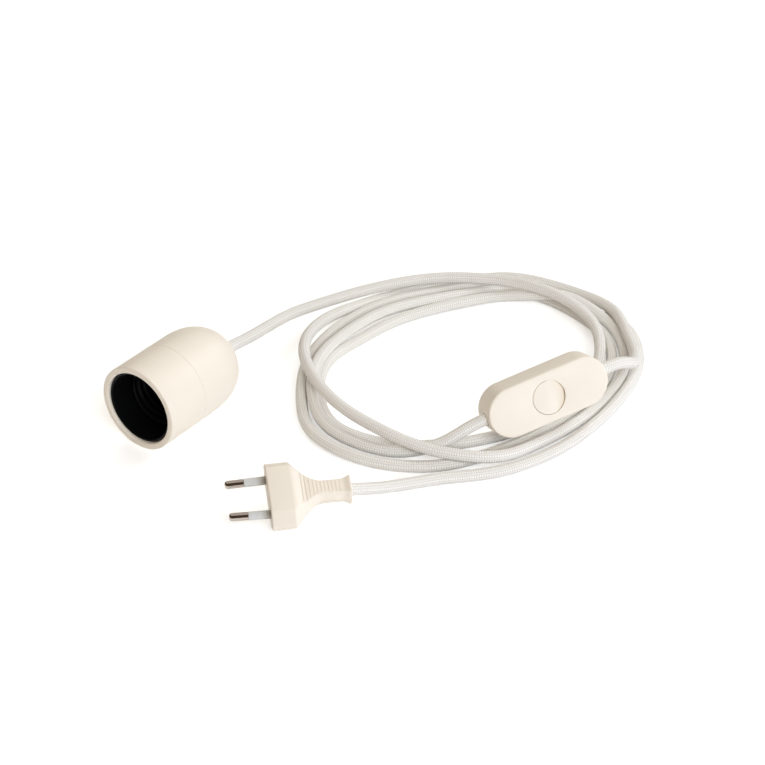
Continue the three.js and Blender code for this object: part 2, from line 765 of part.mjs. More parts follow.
// Flat plug: eight-sided sections along X, wide at the block, narrow at the neck, flared at the tail.
function plugSection(x, width, thickness, chamfer) {
  const w = width / 2;
  const t = thickness / 2;
  return [
    [w, -t + chamfer], [w, t - chamfer], [w - chamfer, t], [chamfer - w, t],
    [-w, t - chamfer], [-w, chamfer - t], [chamfer - w, -t], [w - chamfer, -t],
  ].map(([y, z]) => [x, y, z]);
}

function loft(sections) {
  const sides = sections[0].length;
  const index = [];
  for (let s = 0; s < sections.length - 1; s++)
    for (let i = 0; i < sides; i++) {
      const a = s * sides + i;
      const b = s * sides + ((i + 1) % sides);
      index.push(a, b, b + sides, a, b + sides, a + sides);
    }
  const last = (sections.length - 1) * sides;
  for (let i = 1; i < sides - 1; i++) {
    index.push(0, i + 1, i);
    index.push(last, last + i, last + i + 1);
  }
  const geometry = new THREE.BufferGeometry();
  geometry.setAttribute("position", new THREE.Float32BufferAttribute(sections.flat(2), 3));
  geometry.setIndex(index);
  return geometry;
}

// Half sizes along the plug: straight shoulders that ease into the neck, then the flared tail.
function plugTaper(x) {
  const ease = (from, to) => THREE.MathUtils.smoothstep(x, from, to);
  const shoulder = THREE.MathUtils.clamp((x - plugBlock) / (neckStart - plugBlock), 0, 1);
  const narrow = 1 - Math.pow(1 - shoulder, 1.45);
  const flare = ease(neckEnd, plugLength - 1);
  const width = THREE.MathUtils.lerp(plugWidth, neckWidth, narrow) + (tailWidth - neckWidth) * flare;
  const thin = ease(plugBlock, plugBlock + plugStep);
  const thickness =
    THREE.MathUtils.lerp(plugThickness, neckThickness, thin) + (tailThickness - neckThickness) * flare;
  const chamfer = THREE.MathUtils.lerp(plugChamfer, neckWidth * 0.24, narrow);
  return { width, thickness, chamfer };
}

const pinTilt = Math.atan((pinSpacing - pinTipSpacing) / 2 / pinLength);

// A solid about the axis of one pin, drawn along X with x = 0 at the face of the plug.
function alongPin(geometry, side) {
  return geometry.rotateZ(side * pinTilt).translate(0, (side * pinSpacing) / 2, 0);
}

function plugBody() {
  const edge = 0.7;
  const stations = [0, edge];
  for (let x = 4; x < plugBlock; x += 4) stations.push(x);
  for (let i = 0; i <= 8; i++) stations.push(plugBlock + ((neckStart - plugBlock) * i) / 8);
  stations.push((neckStart + neckEnd) / 2);
  for (let i = 0; i <= 4; i++) stations.push(neckEnd + ((plugLength - 1 - neckEnd) * i) / 4);
  stations.push(plugLength);
  const sections = stations.map((x) => {
    const { width, thickness, chamfer } = plugTaper(x);
    const inset = x === 0 || x === plugLength ? 2 * edge : 0;
    return plugSection(x, width - inset, thickness - inset, chamfer - inset * 0.2);
  });
  const ribs = [];
  for (let i = 0; i < ribCount; i++) {
    const x = ribStart + i * ribPitch;
    const { width, thickness, chamfer } = plugTaper(x);
    const reach = Math.min(width / 2 - chamfer * 0.6, 6.5);
    for (const side of [-1, 1]) ribs.push(rodY(ribDepth, -reach, reach, x, (side * thickness) / 2, 6));
  }
  const sockets = [-1, 1].flatMap((side) => [
    alongPin(rodX(pinDiameter / 2 + fit, -2, sleeveRoot + fit), side),
    alongPin(rodX(pinDiameter / 2 - pinWall, -2, pinRoot + fit), side),
  ]);
  const bore = rodX(cordDiameter / 2 + fit, plugLength - tailBore, plugLength + 1, 0, 0, 20);
  return combine(loft(sections), [], [...ribs, ...sockets, bore]);
}

function plugPin(side) {
  const radius = pinDiameter / 2;
  const core = radius - pinWall - fit;
  const bareEnd = pinBareLength - pinLength;
  const outline = [
    [0, -pinLength],
    [radius * 0.6, 0.25 - pinLength],
    [radius, 1.3 - pinLength],
    [radius, bareEnd],
    [core, bareEnd],
    [core, pinRoot],
    [0, pinRoot],
  ];
  return alongPin(revolve(outline, 16).rotateZ(-Math.PI / 2), side);
}

function pinSleeve(side) {
  const radius = pinDiameter / 2;
  const from = pinBareLength - pinLength + fit;
  return alongPin(ring(radius - pinWall, radius, from, sleeveRoot, 16).rotateZ(-Math.PI / 2), side);
}

function flatPlug() {
  const plug = new THREE.Group();
  const { x, y, z, turn, roll } = plugPlace;
  plug.position.set(x, y, z);
  plug.rotation.set(degrees(roll), 0, degrees(turn), "ZYX");
  plug.add(piece("plug_body", plugBody(), ivory));
  [-1, 1].forEach((side, i) => {
    plug.add(piece(`plug_pin_${i + 1}`, plugPin(side), nickel));
    plug.add(piece(`pin_sleeve_${i + 1}`, pinSleeve(side), white));
  });
  return plug;
}

// The loose turns of the cord, as [bearing in degrees, distance from the middle of the coil, height].
const floorLevel = 3.1;
const onCoil = ([bearing, distance, height = floorLevel]) =>
  new THREE.Vector3(
    coilCentre.x + distance * Math.cos(degrees(bearing)),
    coilCentre.y + distance * Math.sin(degrees(bearing)),
    height,
  );

const lampCordTurns = [
  [156.7, 90.8, 9.4], [135.2, 87.3, 10.6], [112.2, 84, 12], [100.4, 81.4, 13.5], [89.6, 80.8, 13],
  [79.2, 80.7, 10.7], [67.8, 78.1, 7.9], [44.8, 65.6, 5.2], [22, 54.8, 3.6], [359.8, 49.1], [337.5, 49],
  [315, 51.4], [292.5, 58.3], [270.1, 69.4], [248.3, 77.6], [225.4, 75.1], [201.9, 72.2], [181.5, 65.8],
  [159, 66, 3.3], [135.4, 69.1, 4], [112.1, 79.8, 5], [100.5, 82.9, 6.7], [95.6, 85.2, 8.9],
  [89.5, 87.6, 9.6], [78, 88.2, 8], [66.6, 88.5, 4.8], [44.6, 79.7, 3.3], [22.1, 68.6, 3.2],
  [359.2, 63.9, 3.8], [336.9, 65.4, 5.3], [315.1, 73.9, 7.8], [292.5, 73.4, 9.9], [281, 72.6, 11.1],
  [270.8, 72.4, 12.6], [251.8, 74.4, 14.4], [231.7, 77.8, 15.7], [206.3, 83.6, 13.7], [182.5, 87.3, 8.3],
  [158.6, 88, 3.8], [135.1, 91.7], [112.4, 102.6, 3.2], [100.7, 102.1, 3.6], [88.9, 99.4, 5.3],
  [77.6, 96.2, 8.5], [68.3, 92.6, 10.5],
];

const plugCordTurns = [
  [281, 70.5, 3.9], [270.5, 77.1, 4.5], [249.9, 83.6, 6.5], [231, 79.7, 8.6], [208.9, 75.2, 9.5],
  [185.4, 70.3, 8.9], [160.1, 71.8, 7], [135.5, 75.5, 5.2], [112.3, 87.6, 3.9], [100.9, 89.3, 3.2],
  [89.9, 86.9], [67.2, 82.2], [45, 72.7], [22.5, 61.9], [0, 56.1], [337.5, 57], [315, 63.6],
  [292.7, 76.3, 3.2], [270.6, 86.3, 3.8], [248.3, 90.4, 4.3], [226.9, 84.1, 4.3], [203.4, 81.8, 4.4],
  [181.1, 80.5, 4.5], [158.4, 81.7, 4.5], [135.2, 84, 4.3], [112.3, 94.7, 4], [100.6, 95.7, 3.7],
  [89.3, 93.3, 3.3], [77.9, 92.3], [67.2, 96.3, 3.4], [44, 86.3, 4.2], [21.3, 75.4, 4.2],
  [359.3, 71.5, 3.8], [337.3, 73.4, 3.3], [315, 79],
];

// From the holder down to the turns, from the turns up to the switch, and on to the plug.
const holderEnd = [[-5.1, 56.4, 14.7], [-8.9, 79.2, 9.7], [-9.9, 97.4, 7.2], [-5.5, 109.4, 7.4]];
const switchRightEnd = [[142.2, 180.6, 9.8], [153, 169.4, 10], [160, 157.7, 13.6], [166.9, 142.8, 21.2]];
const switchLeftEnd = [[123.2, 46.7, 9.8], [112.8, 39.5, 5.4]];
const plugEnd = [[133.2, 29.4, 3.5], [122, 11.5, 5.1], [115.3, -1.3, 7.7]];

const vectors = (list) => list.map((p) => new THREE.Vector3(...p));

// Two points of a straight lead: inside the piece that holds it, and just outside it.
function leadOut(group, inside, outside, y, z) {
  group.updateMatrixWorld(true);
  return [inside, outside].map((x) => new THREE.Vector3(x, y, z).applyMatrix4(group.matrixWorld));
}

function cords(switchGroup, plugGroup) {
  const axisZ = holderDiameter / 2;
  const startY = cordEndY - holderLength / 2;
  const fromHolder = vectors([[0, startY, axisZ], [0, holderLength / 2 + holderLead, axisZ]]);
  const outside = switchLength / 2 + switchLead;
  const toSwitch = leadOut(switchGroup, cordEndX, outside, 0, cordLevel).reverse();
  const fromSwitch = leadOut(switchGroup, -cordEndX, -outside, 0, cordLevel);
  const toPlug = leadOut(plugGroup, plugLength - tailBore + fit, plugLength + plugLead, 0, 0).reverse();
  const lampTurns = lampCordTurns.map(onCoil);
  const intoSwitch = [...vectors(switchRightEnd), ...toSwitch];
  const lamp = [...fromHolder, ...vectors(holderEnd), ...lampCordTurns.map(onCoil), ...intoSwitch];
  const outOfSwitch = [...fromSwitch, ...vectors(switchLeftEnd)];
  const plug = [...outOfSwitch, ...plugCordTurns.map(onCoil), ...vectors(plugEnd), ...toPlug];
  return [
    piece("lamp_cord", tube(lamp, cordDiameter / 2, cordSides), braid),
    piece("plug_cord", tube(plug, cordDiameter / 2, cordSides), braid),
  ];
}

const group = new THREE.Group();
const holder = lampHolder();
const inline = inlineSwitch();
const plug = flatPlug();
group.add(holder, inline, plug, ...cords(inline, plug));

export default group;
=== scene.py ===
# Table lamp cord set: an ivory lamp holder, a textile cord in loose turns, an in-line rocker switch and a
# flat two-pin plug, on a pale studio floor. Metres, +Z up.
import math

import bpy
from mathutils import Euler, Matrix, Vector


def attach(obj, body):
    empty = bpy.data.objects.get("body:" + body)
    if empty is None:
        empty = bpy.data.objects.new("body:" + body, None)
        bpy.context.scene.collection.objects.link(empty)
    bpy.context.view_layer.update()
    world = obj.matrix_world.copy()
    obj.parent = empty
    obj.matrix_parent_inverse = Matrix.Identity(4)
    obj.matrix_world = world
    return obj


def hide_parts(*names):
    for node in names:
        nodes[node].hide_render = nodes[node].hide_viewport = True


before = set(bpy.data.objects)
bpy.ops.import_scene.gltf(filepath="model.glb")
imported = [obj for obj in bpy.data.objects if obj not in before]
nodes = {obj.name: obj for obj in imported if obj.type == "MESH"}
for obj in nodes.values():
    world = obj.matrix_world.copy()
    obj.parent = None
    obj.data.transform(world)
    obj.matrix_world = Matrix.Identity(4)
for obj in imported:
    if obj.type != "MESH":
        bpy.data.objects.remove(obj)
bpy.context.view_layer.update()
bpy.context.scene.view_settings.view_transform = "Standard"
print("frame loaded,", len(nodes), "nodes")

photoCamera = {
    "place": (0.6057, -0.6549, 0.6071),
    "lookAt": (0.0601, 0.0825, 0),
    "lens": 103.76,
    "sensor": 36,
}


def addCamera(settings):
    data = bpy.data.cameras.new("photoCamera")
    data.lens = settings["lens"]
    data.sensor_width = settings["sensor"]
    camera = bpy.data.objects.new("photoCamera", data)
    bpy.context.scene.collection.objects.link(camera)
    camera.location = settings["place"]
    direction = Vector(settings["lookAt"]) - camera.location
    camera.rotation_euler = direction.to_track_quat("-Z", "Y").to_euler()
    bpy.context.scene.camera = camera


addCamera(photoCamera)


# Where the holder, the switch and the plug lie. Local Z of the holder is its axis, from mouth to cord.
holderPlace = Matrix.Translation((0, -0.031, 0.02175)) @ Matrix.Rotation(math.radians(-90), 4, "X")
switchPlace = Matrix.LocRotScale(
    Vector((0.1491, 0.0907, 0.024)),
    Euler((math.radians(69.7), math.radians(-11.3), math.radians(60))),
    None,
)
plugPlace = Matrix.LocRotScale(
    Vector((0.0844, -0.0377, 0.011)),
    Euler((math.radians(20), 0, math.radians(46))),
    None,
)


# Shader maths: a Value is a socket that can be used in plain arithmetic.
class Value:
    def __init__(self, shader, socket):
        self.shader = shader
        self.socket = socket

    def join(self, operation, *others):
        return self.shader.add("ShaderNodeMath", {"operation": operation}, [self, *others])

    def flipped(self, operation, other):
        return self.shader.add("ShaderNodeMath", {"operation": operation}, [other, self])

    # Another output of the same node.
    def beside(self, output):
        return Value(self.shader, self.socket.node.outputs[output])

    def __add__(self, other):
        return self.join("ADD", other)

    def __radd__(self, other):
        return self.join("ADD", other)

    def __sub__(self, other):
        return self.join("SUBTRACT", other)

    def __rsub__(self, other):
        return self.flipped("SUBTRACT", other)

    def __mul__(self, other):
        return self.join("MULTIPLY", other)

    def __rmul__(self, other):
        return self.join("MULTIPLY", other)

    def __truediv__(self, other):
        return self.join("DIVIDE", other)

    def __rtruediv__(self, other):
        return self.flipped("DIVIDE", other)

    def __pow__(self, other):
        return self.join("POWER", other)

    def __rpow__(self, other):
        return self.flipped("POWER", other)

    def __mod__(self, other):
        return self.join("MODULO", other)

    def __rmod__(self, other):
        return self.flipped("MODULO", other)


class Shader:
    def __init__(self, name, **fixed):
        self.material = bpy.data.materials.new(name)
        self.material.use_nodes = True
        self.tree = self.material.node_tree
        self.surface = self.tree.nodes["Principled BSDF"]
        for socket, value in fixed.items():
            self.surface.inputs[socket.replace("_", " ")].default_value = value

    # Adds any node: its settings first, then the values or links of its sockets.
    def add(self, kind, settings=None, sockets=(), output=0):
        node = self.tree.nodes.new(kind)
        for key, value in (settings or {}).items():
            if key == "stops":
                while len(node.color_ramp.elements) < len(value):
                    node.color_ramp.elements.new(0.5)
                for element, (position, colour) in zip(node.color_ramp.elements, value):
                    element.position = position
                    element.color = (*colour, 1)
            else:
                setattr(node, key, value)
        pairs = sockets.items() if isinstance(sockets, dict) else enumerate(sockets)
        for key, value in pairs:
            self.feed(node.inputs[key], value)
        return Value(self, node.outputs[output])

    def feed(self, socket, value):
        if isinstance(value, Value):
            self.tree.links.new(value.socket, socket)
        else:
            socket.default_value = value

    def surfaceTakes(self, **links):
        for socket, value in links.items():
            self.feed(self.surface.inputs[socket.replace("_", " ")], value)
        return self.material

    def place(self, which="Object"):
        return self.add("ShaderNodeTexCoord", output=which)

    def noise(self, vector, scale, detail=2, roughness=0.5):
        sockets = {"Vector": vector, "Scale": scale, "Detail": detail, "Roughness": roughness}
        return self.add("ShaderNodeTexNoise", None, sockets, "Fac")

    def stretched(self, vector, factors):
        return self.add("ShaderNodeVectorMath", {"operation": "MULTIPLY"}, [vector, factors])

    def alongAxis(self, vector, direction):
        return self.add("ShaderNodeVectorMath", {"operation": "DOT_PRODUCT"}, [vector, direction], "Value")

    def ramp(self, value, stops):
        return self.add("ShaderNodeValToRGB", {"stops": stops}, [value], "Color")

    def mixColour(self, factor, first, second):
        node = self.tree.nodes.new("ShaderNodeMix")
        node.data_type = "RGBA"
        self.feed(node.inputs["Factor"], factor)
        for key, colour in (("A", first), ("B", second)):
            socket = [s for s in node.inputs if s.name == key and s.type == "RGBA"][0]
            self.feed(socket, colour if isinstance(colour, Value) else (*colour, 1))
        return Value(self, [s for s in node.outputs if s.type == "RGBA"][0])

    def bump(self, height, distance):
        return self.add("ShaderNodeBump", None, {"Height": height, "Distance": distance}, "Normal")


def shade(colour, factor):
    return tuple(c * factor for c in colour)


# What all the plastics have in common: how coarse the specks are beside the grain, and how the layers mix.
plasticLayers = {"speckScale": 0.35, "grainTone": 0.2, "speckRelief": 0.3, "darkest": 0.3, "palest": 0.7}


# Moulded plastic: a fine spark-eroded grain, faint flow clouds and a slightly uneven gloss. The sleeve of a
# pin gets a dark painted shade at its root, towards the plug's face.
def mouldedPlastic(name, colour, settings):
    plastic = Shader(name, Metallic=0, IOR=settings.get("ior", 1.5))
    place = plastic.place()
    clouds = plastic.noise(place, settings["cloudScale"], 3)
    grain = plastic.noise(place, settings["grainScale"], 2, 0.6)
    layers = plasticLayers
    speck = plastic.noise(place, settings["grainScale"] * layers["speckScale"], 3, 0.7)
    dark = shade(colour, 1 - settings["toneSpread"])
    tone = plastic.ramp(
        clouds * (1 - layers["grainTone"]) + grain * layers["grainTone"],
        [(layers["darkest"], dark), (layers["palest"], colour)],
    )
    # Painted shade: the colour darkens towards the plug's face over the root's length.
    if "root" in settings:
        root = settings["root"]
        direction = plugPlace.col[0].xyz
        along = plastic.alongAxis(place, direction)
        depth = along - (direction.dot(plugPlace.translation) - root["length"])
        tone = plastic.mixColour(depth / root["length"], tone, root["colour"])
    rough = settings["roughness"] + (speck - 0.5) * settings["roughSpread"]
    relief = grain * (1 - layers["speckRelief"]) + speck * layers["speckRelief"]
    return plastic.surfaceTakes(
        Base_Color=tone,
        Roughness=rough,
        Normal=plastic.bump(relief, settings["grainDepth"]),
    )


ivoryFinish = {
    "cloudScale": 60, "grainScale": 3200, "grainDepth": 0.000012,
    "roughness": 0.46, "roughSpread": 0.12, "toneSpread": 0.025,
}
blackFinish = {
    "cloudScale": 90, "grainScale": 2600, "grainDepth": 0.00001,
    "roughness": 0.5, "roughSpread": 0.14, "toneSpread": 0.3, "ior": 1.25,
}
sleeveFinishWithPaintedShade = {
    "cloudScale": 200, "grainScale": 3000, "grainDepth": 0.000006,
    "roughness": 0.38, "roughSpread": 0.1, "toneSpread": 0.04,
    # The root colour is a painted shade where the plug's face shadows the sleeve.
    "root": {"length": 0.0045, "colour": (0.3, 0.27, 0.23)},
}
insulationFinish = {
    "cloudScale": 150, "grainScale": 2000, "grainDepth": 0.000008,
    "roughness": 0.45, "roughSpread": 0.1, "toneSpread": 0.08,
}

metalFinishes = {
    "nickelPlate": {
        "colour": (0.53, 0.475, 0.425), "roughness": 0.1, "lines": (300, 300, 1800), "lineDepth": 0.000004,
    },
    "stampedBrass": {
        "colour": (0.72, 0.52, 0.22), "roughness": 0.3, "lines": (2500, 600, 600), "lineDepth": 0.000005,
    },
    "zincedSteel": {
        "colour": (0.5, 0.51, 0.53), "roughness": 0.36, "lines": (1800, 1800, 1800), "lineDepth": 0.000006,
    },
}
# What all the metals have in common: the dull patches, and how dark the drawn lines get.
metalLayers = {"patchScale": 700, "patchGloss": 0.14, "darkShade": 0.86, "darkest": 0.25, "palest": 0.7}


# Metal with fine drawn lines along one axis of the object and a few dull patches.
def drawnMetal(name):
    settings, layers = metalFinishes[name], metalLayers
    colour = settings["colour"]
    metal = Shader(name, Metallic=1)
    place = metal.place()
    streaks = metal.noise(metal.stretched(place, settings["lines"]), 1, 3, 0.6)
    patches = metal.noise(place, layers["patchScale"], 3, 0.6)
    stops = [(layers["darkest"], shade(colour, layers["darkShade"])), (layers["palest"], colour)]
    return metal.surfaceTakes(
        Base_Color=metal.ramp(streaks * 0.5 + patches * 0.5, stops),
        Roughness=settings["roughness"] + (patches - 0.5) * layers["patchGloss"],
        Normal=metal.bump(streaks, settings["lineDepth"]),
    )


braidFinish = {
    "columns": 14,
    "stitchesAround": 16,
    "slant": 0.45,
    "plumpness": 0.22,
    "dip": 0.8,
    "flatDrop": 0.12,
    "lift": 1.35,
    "yarn": (1.0, 0.982, 0.95),
    # Dark brown painted shade for the hollows between stitches.
    "paintedGrooveShade": (0.48, 0.42, 0.35),
    "depth": 0.00016,
    "fibreStretch": (60, 25, 1),
    "fibreScale": 9,
    "fibreTint": 0.12,
    "fibreRelief": 0.15,
    "fluffScale": 260,
    "fluffTint": 0.06,
    "fluffColour": (1, 0.99, 0.97),
    "roughness": 0.92,
    "crestGloss": 0.12,
    "sheen": 0.1,
    "sheenRoughness": 0.5,
}


# Plaited cotton: rows of slanted stitches, plump in every other row and finer and flatter between them. The
# low parts between stitches are darkened with a painted shade.
def plaitedBraid(name, settings):
    sheen, sheenRoughness = settings["sheen"], settings["sheenRoughness"]
    braid = Shader(name, Roughness=0.86, Metallic=0, Sheen_Weight=sheen, Sheen_Roughness=sheenRoughness)
    uv = braid.add("ShaderNodeSeparateXYZ", None, [braid.place("UV")], "X")
    along = uv.beside("Y")
    column = uv * settings["columns"]
    inColumn = column.join("FRACT")
    flat = column.join("FLOOR") % 2
    lean = (inColumn - 0.5).join("ABSOLUTE") * settings["slant"]
    stitch = (along * settings["stitchesAround"] * (flat + 1) + lean).join("FRACT")
    across = (inColumn * math.pi).join("SINE") ** settings["plumpness"]
    length = (stitch * math.pi).join("SINE").join("ABSOLUTE")
    dip = settings["dip"]
    height = across * (length * dip + (1 - dip)) * (1 - flat * settings["flatDrop"])
    fibrePlace = braid.stretched(braid.place("UV"), settings["fibreStretch"])
    fibres = braid.noise(fibrePlace, settings["fibreScale"], 3, 0.7)
    fluff = braid.noise(braid.place(), settings["fluffScale"], 3, 0.6)
    # Painted shade: the lower a spot of the relief, the darker and browner its colour.
    shown = (height * settings["lift"]).join("MINIMUM", 1)
    tone = braid.mixColour(shown, settings["paintedGrooveShade"], settings["yarn"])
    fuzz = fibres * settings["fibreTint"] + fluff * settings["fluffTint"]
    relief = height * (1 - settings["fibreRelief"]) + fibres * settings["fibreRelief"]
    return braid.surfaceTakes(
        Base_Color=braid.mixColour(fuzz, tone, settings["fluffColour"]),
        Roughness=settings["roughness"] - height * settings["crestGloss"],
        Normal=braid.bump(relief, settings["depth"]),
    )


ivory = mouldedPlastic("ivoryPlastic", (0.95, 0.873, 0.765), ivoryFinish)
black = mouldedPlastic("blackPlastic", (0.004, 0.004, 0.0045), blackFinish)
greySleeve = mouldedPlastic("greySleeve", (0.70, 0.715, 0.71), sleeveFinishWithPaintedShade)
brownInsulation = mouldedPlastic("brownInsulation", (0.11, 0.045, 0.02), insulationFinish)
blueInsulation = mouldedPlastic("blueInsulation", (0.025, 0.11, 0.36), insulationFinish)
nickel, brass, steel = map(drawnMetal, metalFinishes)
braid = plaitedBraid("plaitedBraid", braidFinish)
print("materials made")

# How far the cord's way in lies from the holder's mouth, the switch's middle and the plug's face.
reach = {"holder": 0.062, "switch": 0.03125, "plug": 0.038}

# The cord, and the points its loose turns go through. A lead is the straight piece outside a fitting.
cord = {
    "diameter": 0.0058,
    "sides": 24,
    "step": 0.0022,
    "easing": 14,
    "aboveFloor": 0.0001,
    "coilCentre": (95.8, 106.3),
    "floorLevel": 3.1,
    "insideHolder": 0.011,
    "insideSwitch": 0.01,
    "levelInSwitch": 0.0006,
    "insidePlug": 0.0037,
    "leadHolder": 0.004,
    "leadSwitch": 0.009,
    "leadPlug": 0.003,
}
# Points in millimetres: x, y, height, or bearing in degrees, distance from the coil's middle, height.
holderEnd = [(-5.1, 56.4, 14.7), (-8.9, 79.2, 9.7), (-9.9, 97.4, 7.2), (-5.5, 109.4, 7.4)]
lampCordTurns = [
    (156.7, 90.8, 9.4), (135.2, 87.3, 10.6), (112.2, 84, 12), (100.4, 81.4, 13.5), (89.6, 80.8, 13),
    (79.2, 80.7, 10.7), (67.8, 78.1, 7.9), (44.8, 65.6, 5.2), (22, 54.8, 3.6), (359.8, 49.1), (337.5, 49),
    (315, 51.4), (292.5, 58.3), (270.1, 69.4), (248.3, 77.6), (225.4, 75.1), (201.9, 72.2), (181.5, 65.8),
    (159, 66, 3.3), (135.4, 69.1, 4), (112.1, 79.8, 5), (100.5, 82.9, 6.7), (95.6, 85.2, 8.9),
    (89.5, 87.6, 9.6), (78, 88.2, 8), (66.6, 88.5, 4.8), (44.6, 79.7, 3.3), (22.1, 68.6, 3.2),
    (359.2, 63.9, 3.8), (336.9, 65.4, 5.3), (315.1, 73.9, 7.8), (292.5, 73.4, 9.9), (281, 72.6, 11.1),
    (270.8, 72.4, 12.6), (251.8, 74.4, 14.4), (231.7, 77.8, 15.7), (206.3, 83.6, 13.7), (182.5, 87.3, 8.3),
    (158.6, 88, 3.8), (135.1, 91.7), (112.4, 102.6, 3.2), (100.7, 102.1, 3.6), (88.9, 99.4, 5.3),
    (77.6, 96.2, 8.5), (68.3, 92.6, 10.5),
]
switchRightEnd = [(142.2, 180.6, 9.8), (153, 169.4, 10), (160, 157.7, 13.6), (166.9, 142.8, 21.2)]
switchLeftEnd = [(123.2, 46.7, 9.8), (112.8, 39.5, 5.4)]
plugCordTurns = [
    (281, 70.5, 3.9), (270.5, 77.1, 4.5), (249.9, 83.6, 6.5), (231, 79.7, 8.6), (208.9, 75.2, 9.5),
    (185.4, 70.3, 8.9), (160.1, 71.8, 7), (135.5, 75.5, 5.2), (112.3, 87.6, 3.9), (100.9, 89.3, 3.2),
    (89.9, 86.9), (67.2, 82.2), (45, 72.7), (22.5, 61.9), (0, 56.1), (337.5, 57), (315, 63.6),
    (292.7, 76.3, 3.2), (270.6, 86.3, 3.8), (248.3, 90.4, 4.3), (226.9, 84.1, 4.3), (203.4, 81.8, 4.4),
    (181.1, 80.5, 4.5), (158.4, 81.7, 4.5), (135.2, 84, 4.3), (112.3, 94.7, 4), (100.6, 95.7, 3.7),
    (89.3, 93.3, 3.3), (77.9, 92.3), (67.2, 96.3, 3.4), (44, 86.3, 4.2), (21.3, 75.4, 4.2),
    (359.3, 71.5, 3.8), (337.3, 73.4, 3.3), (315, 79),
]
plugEnd = [(133.2, 29.4, 3.5), (122, 11.5, 5.1), (115.3, -1.3, 7.7)]


def metres(point):
    return Vector(point) * 0.001


def onCoil(turn):
    bearing = math.radians(turn[0])
    height = turn[2] if len(turn) > 2 else cord["floorLevel"]
    x, y = cord["coilCentre"]
    return metres((x + turn[1] * math.cos(bearing), y + turn[1] * math.sin(bearing), height))


# A centripetal curve through the points, as one polyline with even steps, its bends eased as a stiff core
# eases them.
def smoothRoute(points, step):
    ends = [2 * points[0] - points[1], *points, 2 * points[-1] - points[-2]]
    fine = []
    for a, b, c, d in zip(ends, ends[1:], ends[2:], ends[3:]):
        knots = [0]
        for p, q in ((a, b), (b, c), (c, d)):
            knots.append(knots[-1] + (q - p).length ** 0.5)
        t0, t1, t2, t3 = knots
        count = max(4, round((c - b).length / step * 4))
        for i in range(count):
            t = t1 + (t2 - t1) * i / count
            ab = a.lerp(b, (t - t0) / (t1 - t0))
            bc = b.lerp(c, (t - t1) / (t2 - t1))
            cd = c.lerp(d, (t - t2) / (t3 - t2))
            left = ab.lerp(bc, (t - t0) / (t2 - t0))
            right = bc.lerp(cd, (t - t1) / (t3 - t1))
            fine.append(left.lerp(right, (t - t1) / (t2 - t1)))
    fine.append(points[-1].copy())
    lowest = cord["diameter"] / 2 + cord["aboveFloor"]
    for p in fine:
        p.z = max(p.z, lowest)
    lengths = [0]
    for p, q in zip(fine, fine[1:]):
        lengths.append(lengths[-1] + (q - p).length)
    count = round(lengths[-1] / step)
    route = []
    k = 0
    for i in range(count + 1):
        wanted = lengths[-1] * i / count
        while k < len(fine) - 2 and lengths[k + 1] < wanted:
            k += 1
        share = (wanted - lengths[k]) / (lengths[k + 1] - lengths[k])
        route.append(fine[k].lerp(fine[k + 1], min(1, share)))
    for _ in range(cord["easing"]):
        inner = [(a + 2 * b + c) / 4 for a, b, c in zip(route, route[1:], route[2:])]
        route = [route[0], *inner, route[-1]]
    return route, sum((q - p).length for p, q in zip(route, route[1:]))


# A closed tube along the route whose rows don't twist, with U around it and V along it.
def cordTube(name, route, length):
    sides, radius = cord["sides"], cord["diameter"] / 2
    points, rows = [], []
    tangent = (route[1] - route[0]).normalized()
    normal = tangent.orthogonal().normalized()
    for i, p in enumerate(route):
        ahead = (route[min(i + 1, len(route) - 1)] - route[max(i - 1, 0)]).normalized()
        normal = (tangent.rotation_difference(ahead) @ normal).normalized()
        tangent = ahead
        side = tangent.cross(normal)
        row = []
        for k in range(sides):
            angle = 2 * math.pi * k / sides
            row.append(len(points))
            points.append(p + radius * (math.cos(angle) * normal + math.sin(angle) * side))
        rows.append(row)
    faces = [list(reversed(rows[0])), rows[-1]]
    uvs = [[(0, 0)] * sides, [(0, 0)] * sides]
    around = length / (math.pi * cord["diameter"])
    for i in range(len(rows) - 1):
        v0, v1 = around * i / (len(rows) - 1), around * (i + 1) / (len(rows) - 1)
        for k in range(sides):
            n = (k + 1) % sides
            faces.append([rows[i][k], rows[i][n], rows[i + 1][n], rows[i + 1][k]])
            uvs.append([(k / sides, v0), ((k + 1) / sides, v0), ((k + 1) / sides, v1), (k / sides, v1)])
    mesh = bpy.data.meshes.new(name)
    mesh.from_pydata([tuple(p) for p in points], [], faces)
    layer = mesh.uv_layers.new(name="braid")
    for polygon, corners in zip(mesh.polygons, uvs):
        polygon.use_smooth = len(polygon.vertices) == 4
        for loop, corner in zip(polygon.loop_indices, corners):
            layer.data[loop].uv = corner
    tube = bpy.data.objects.new(name, mesh)
    bpy.context.scene.collection.objects.link(tube)
    mesh.materials.append(braid)
    return tube


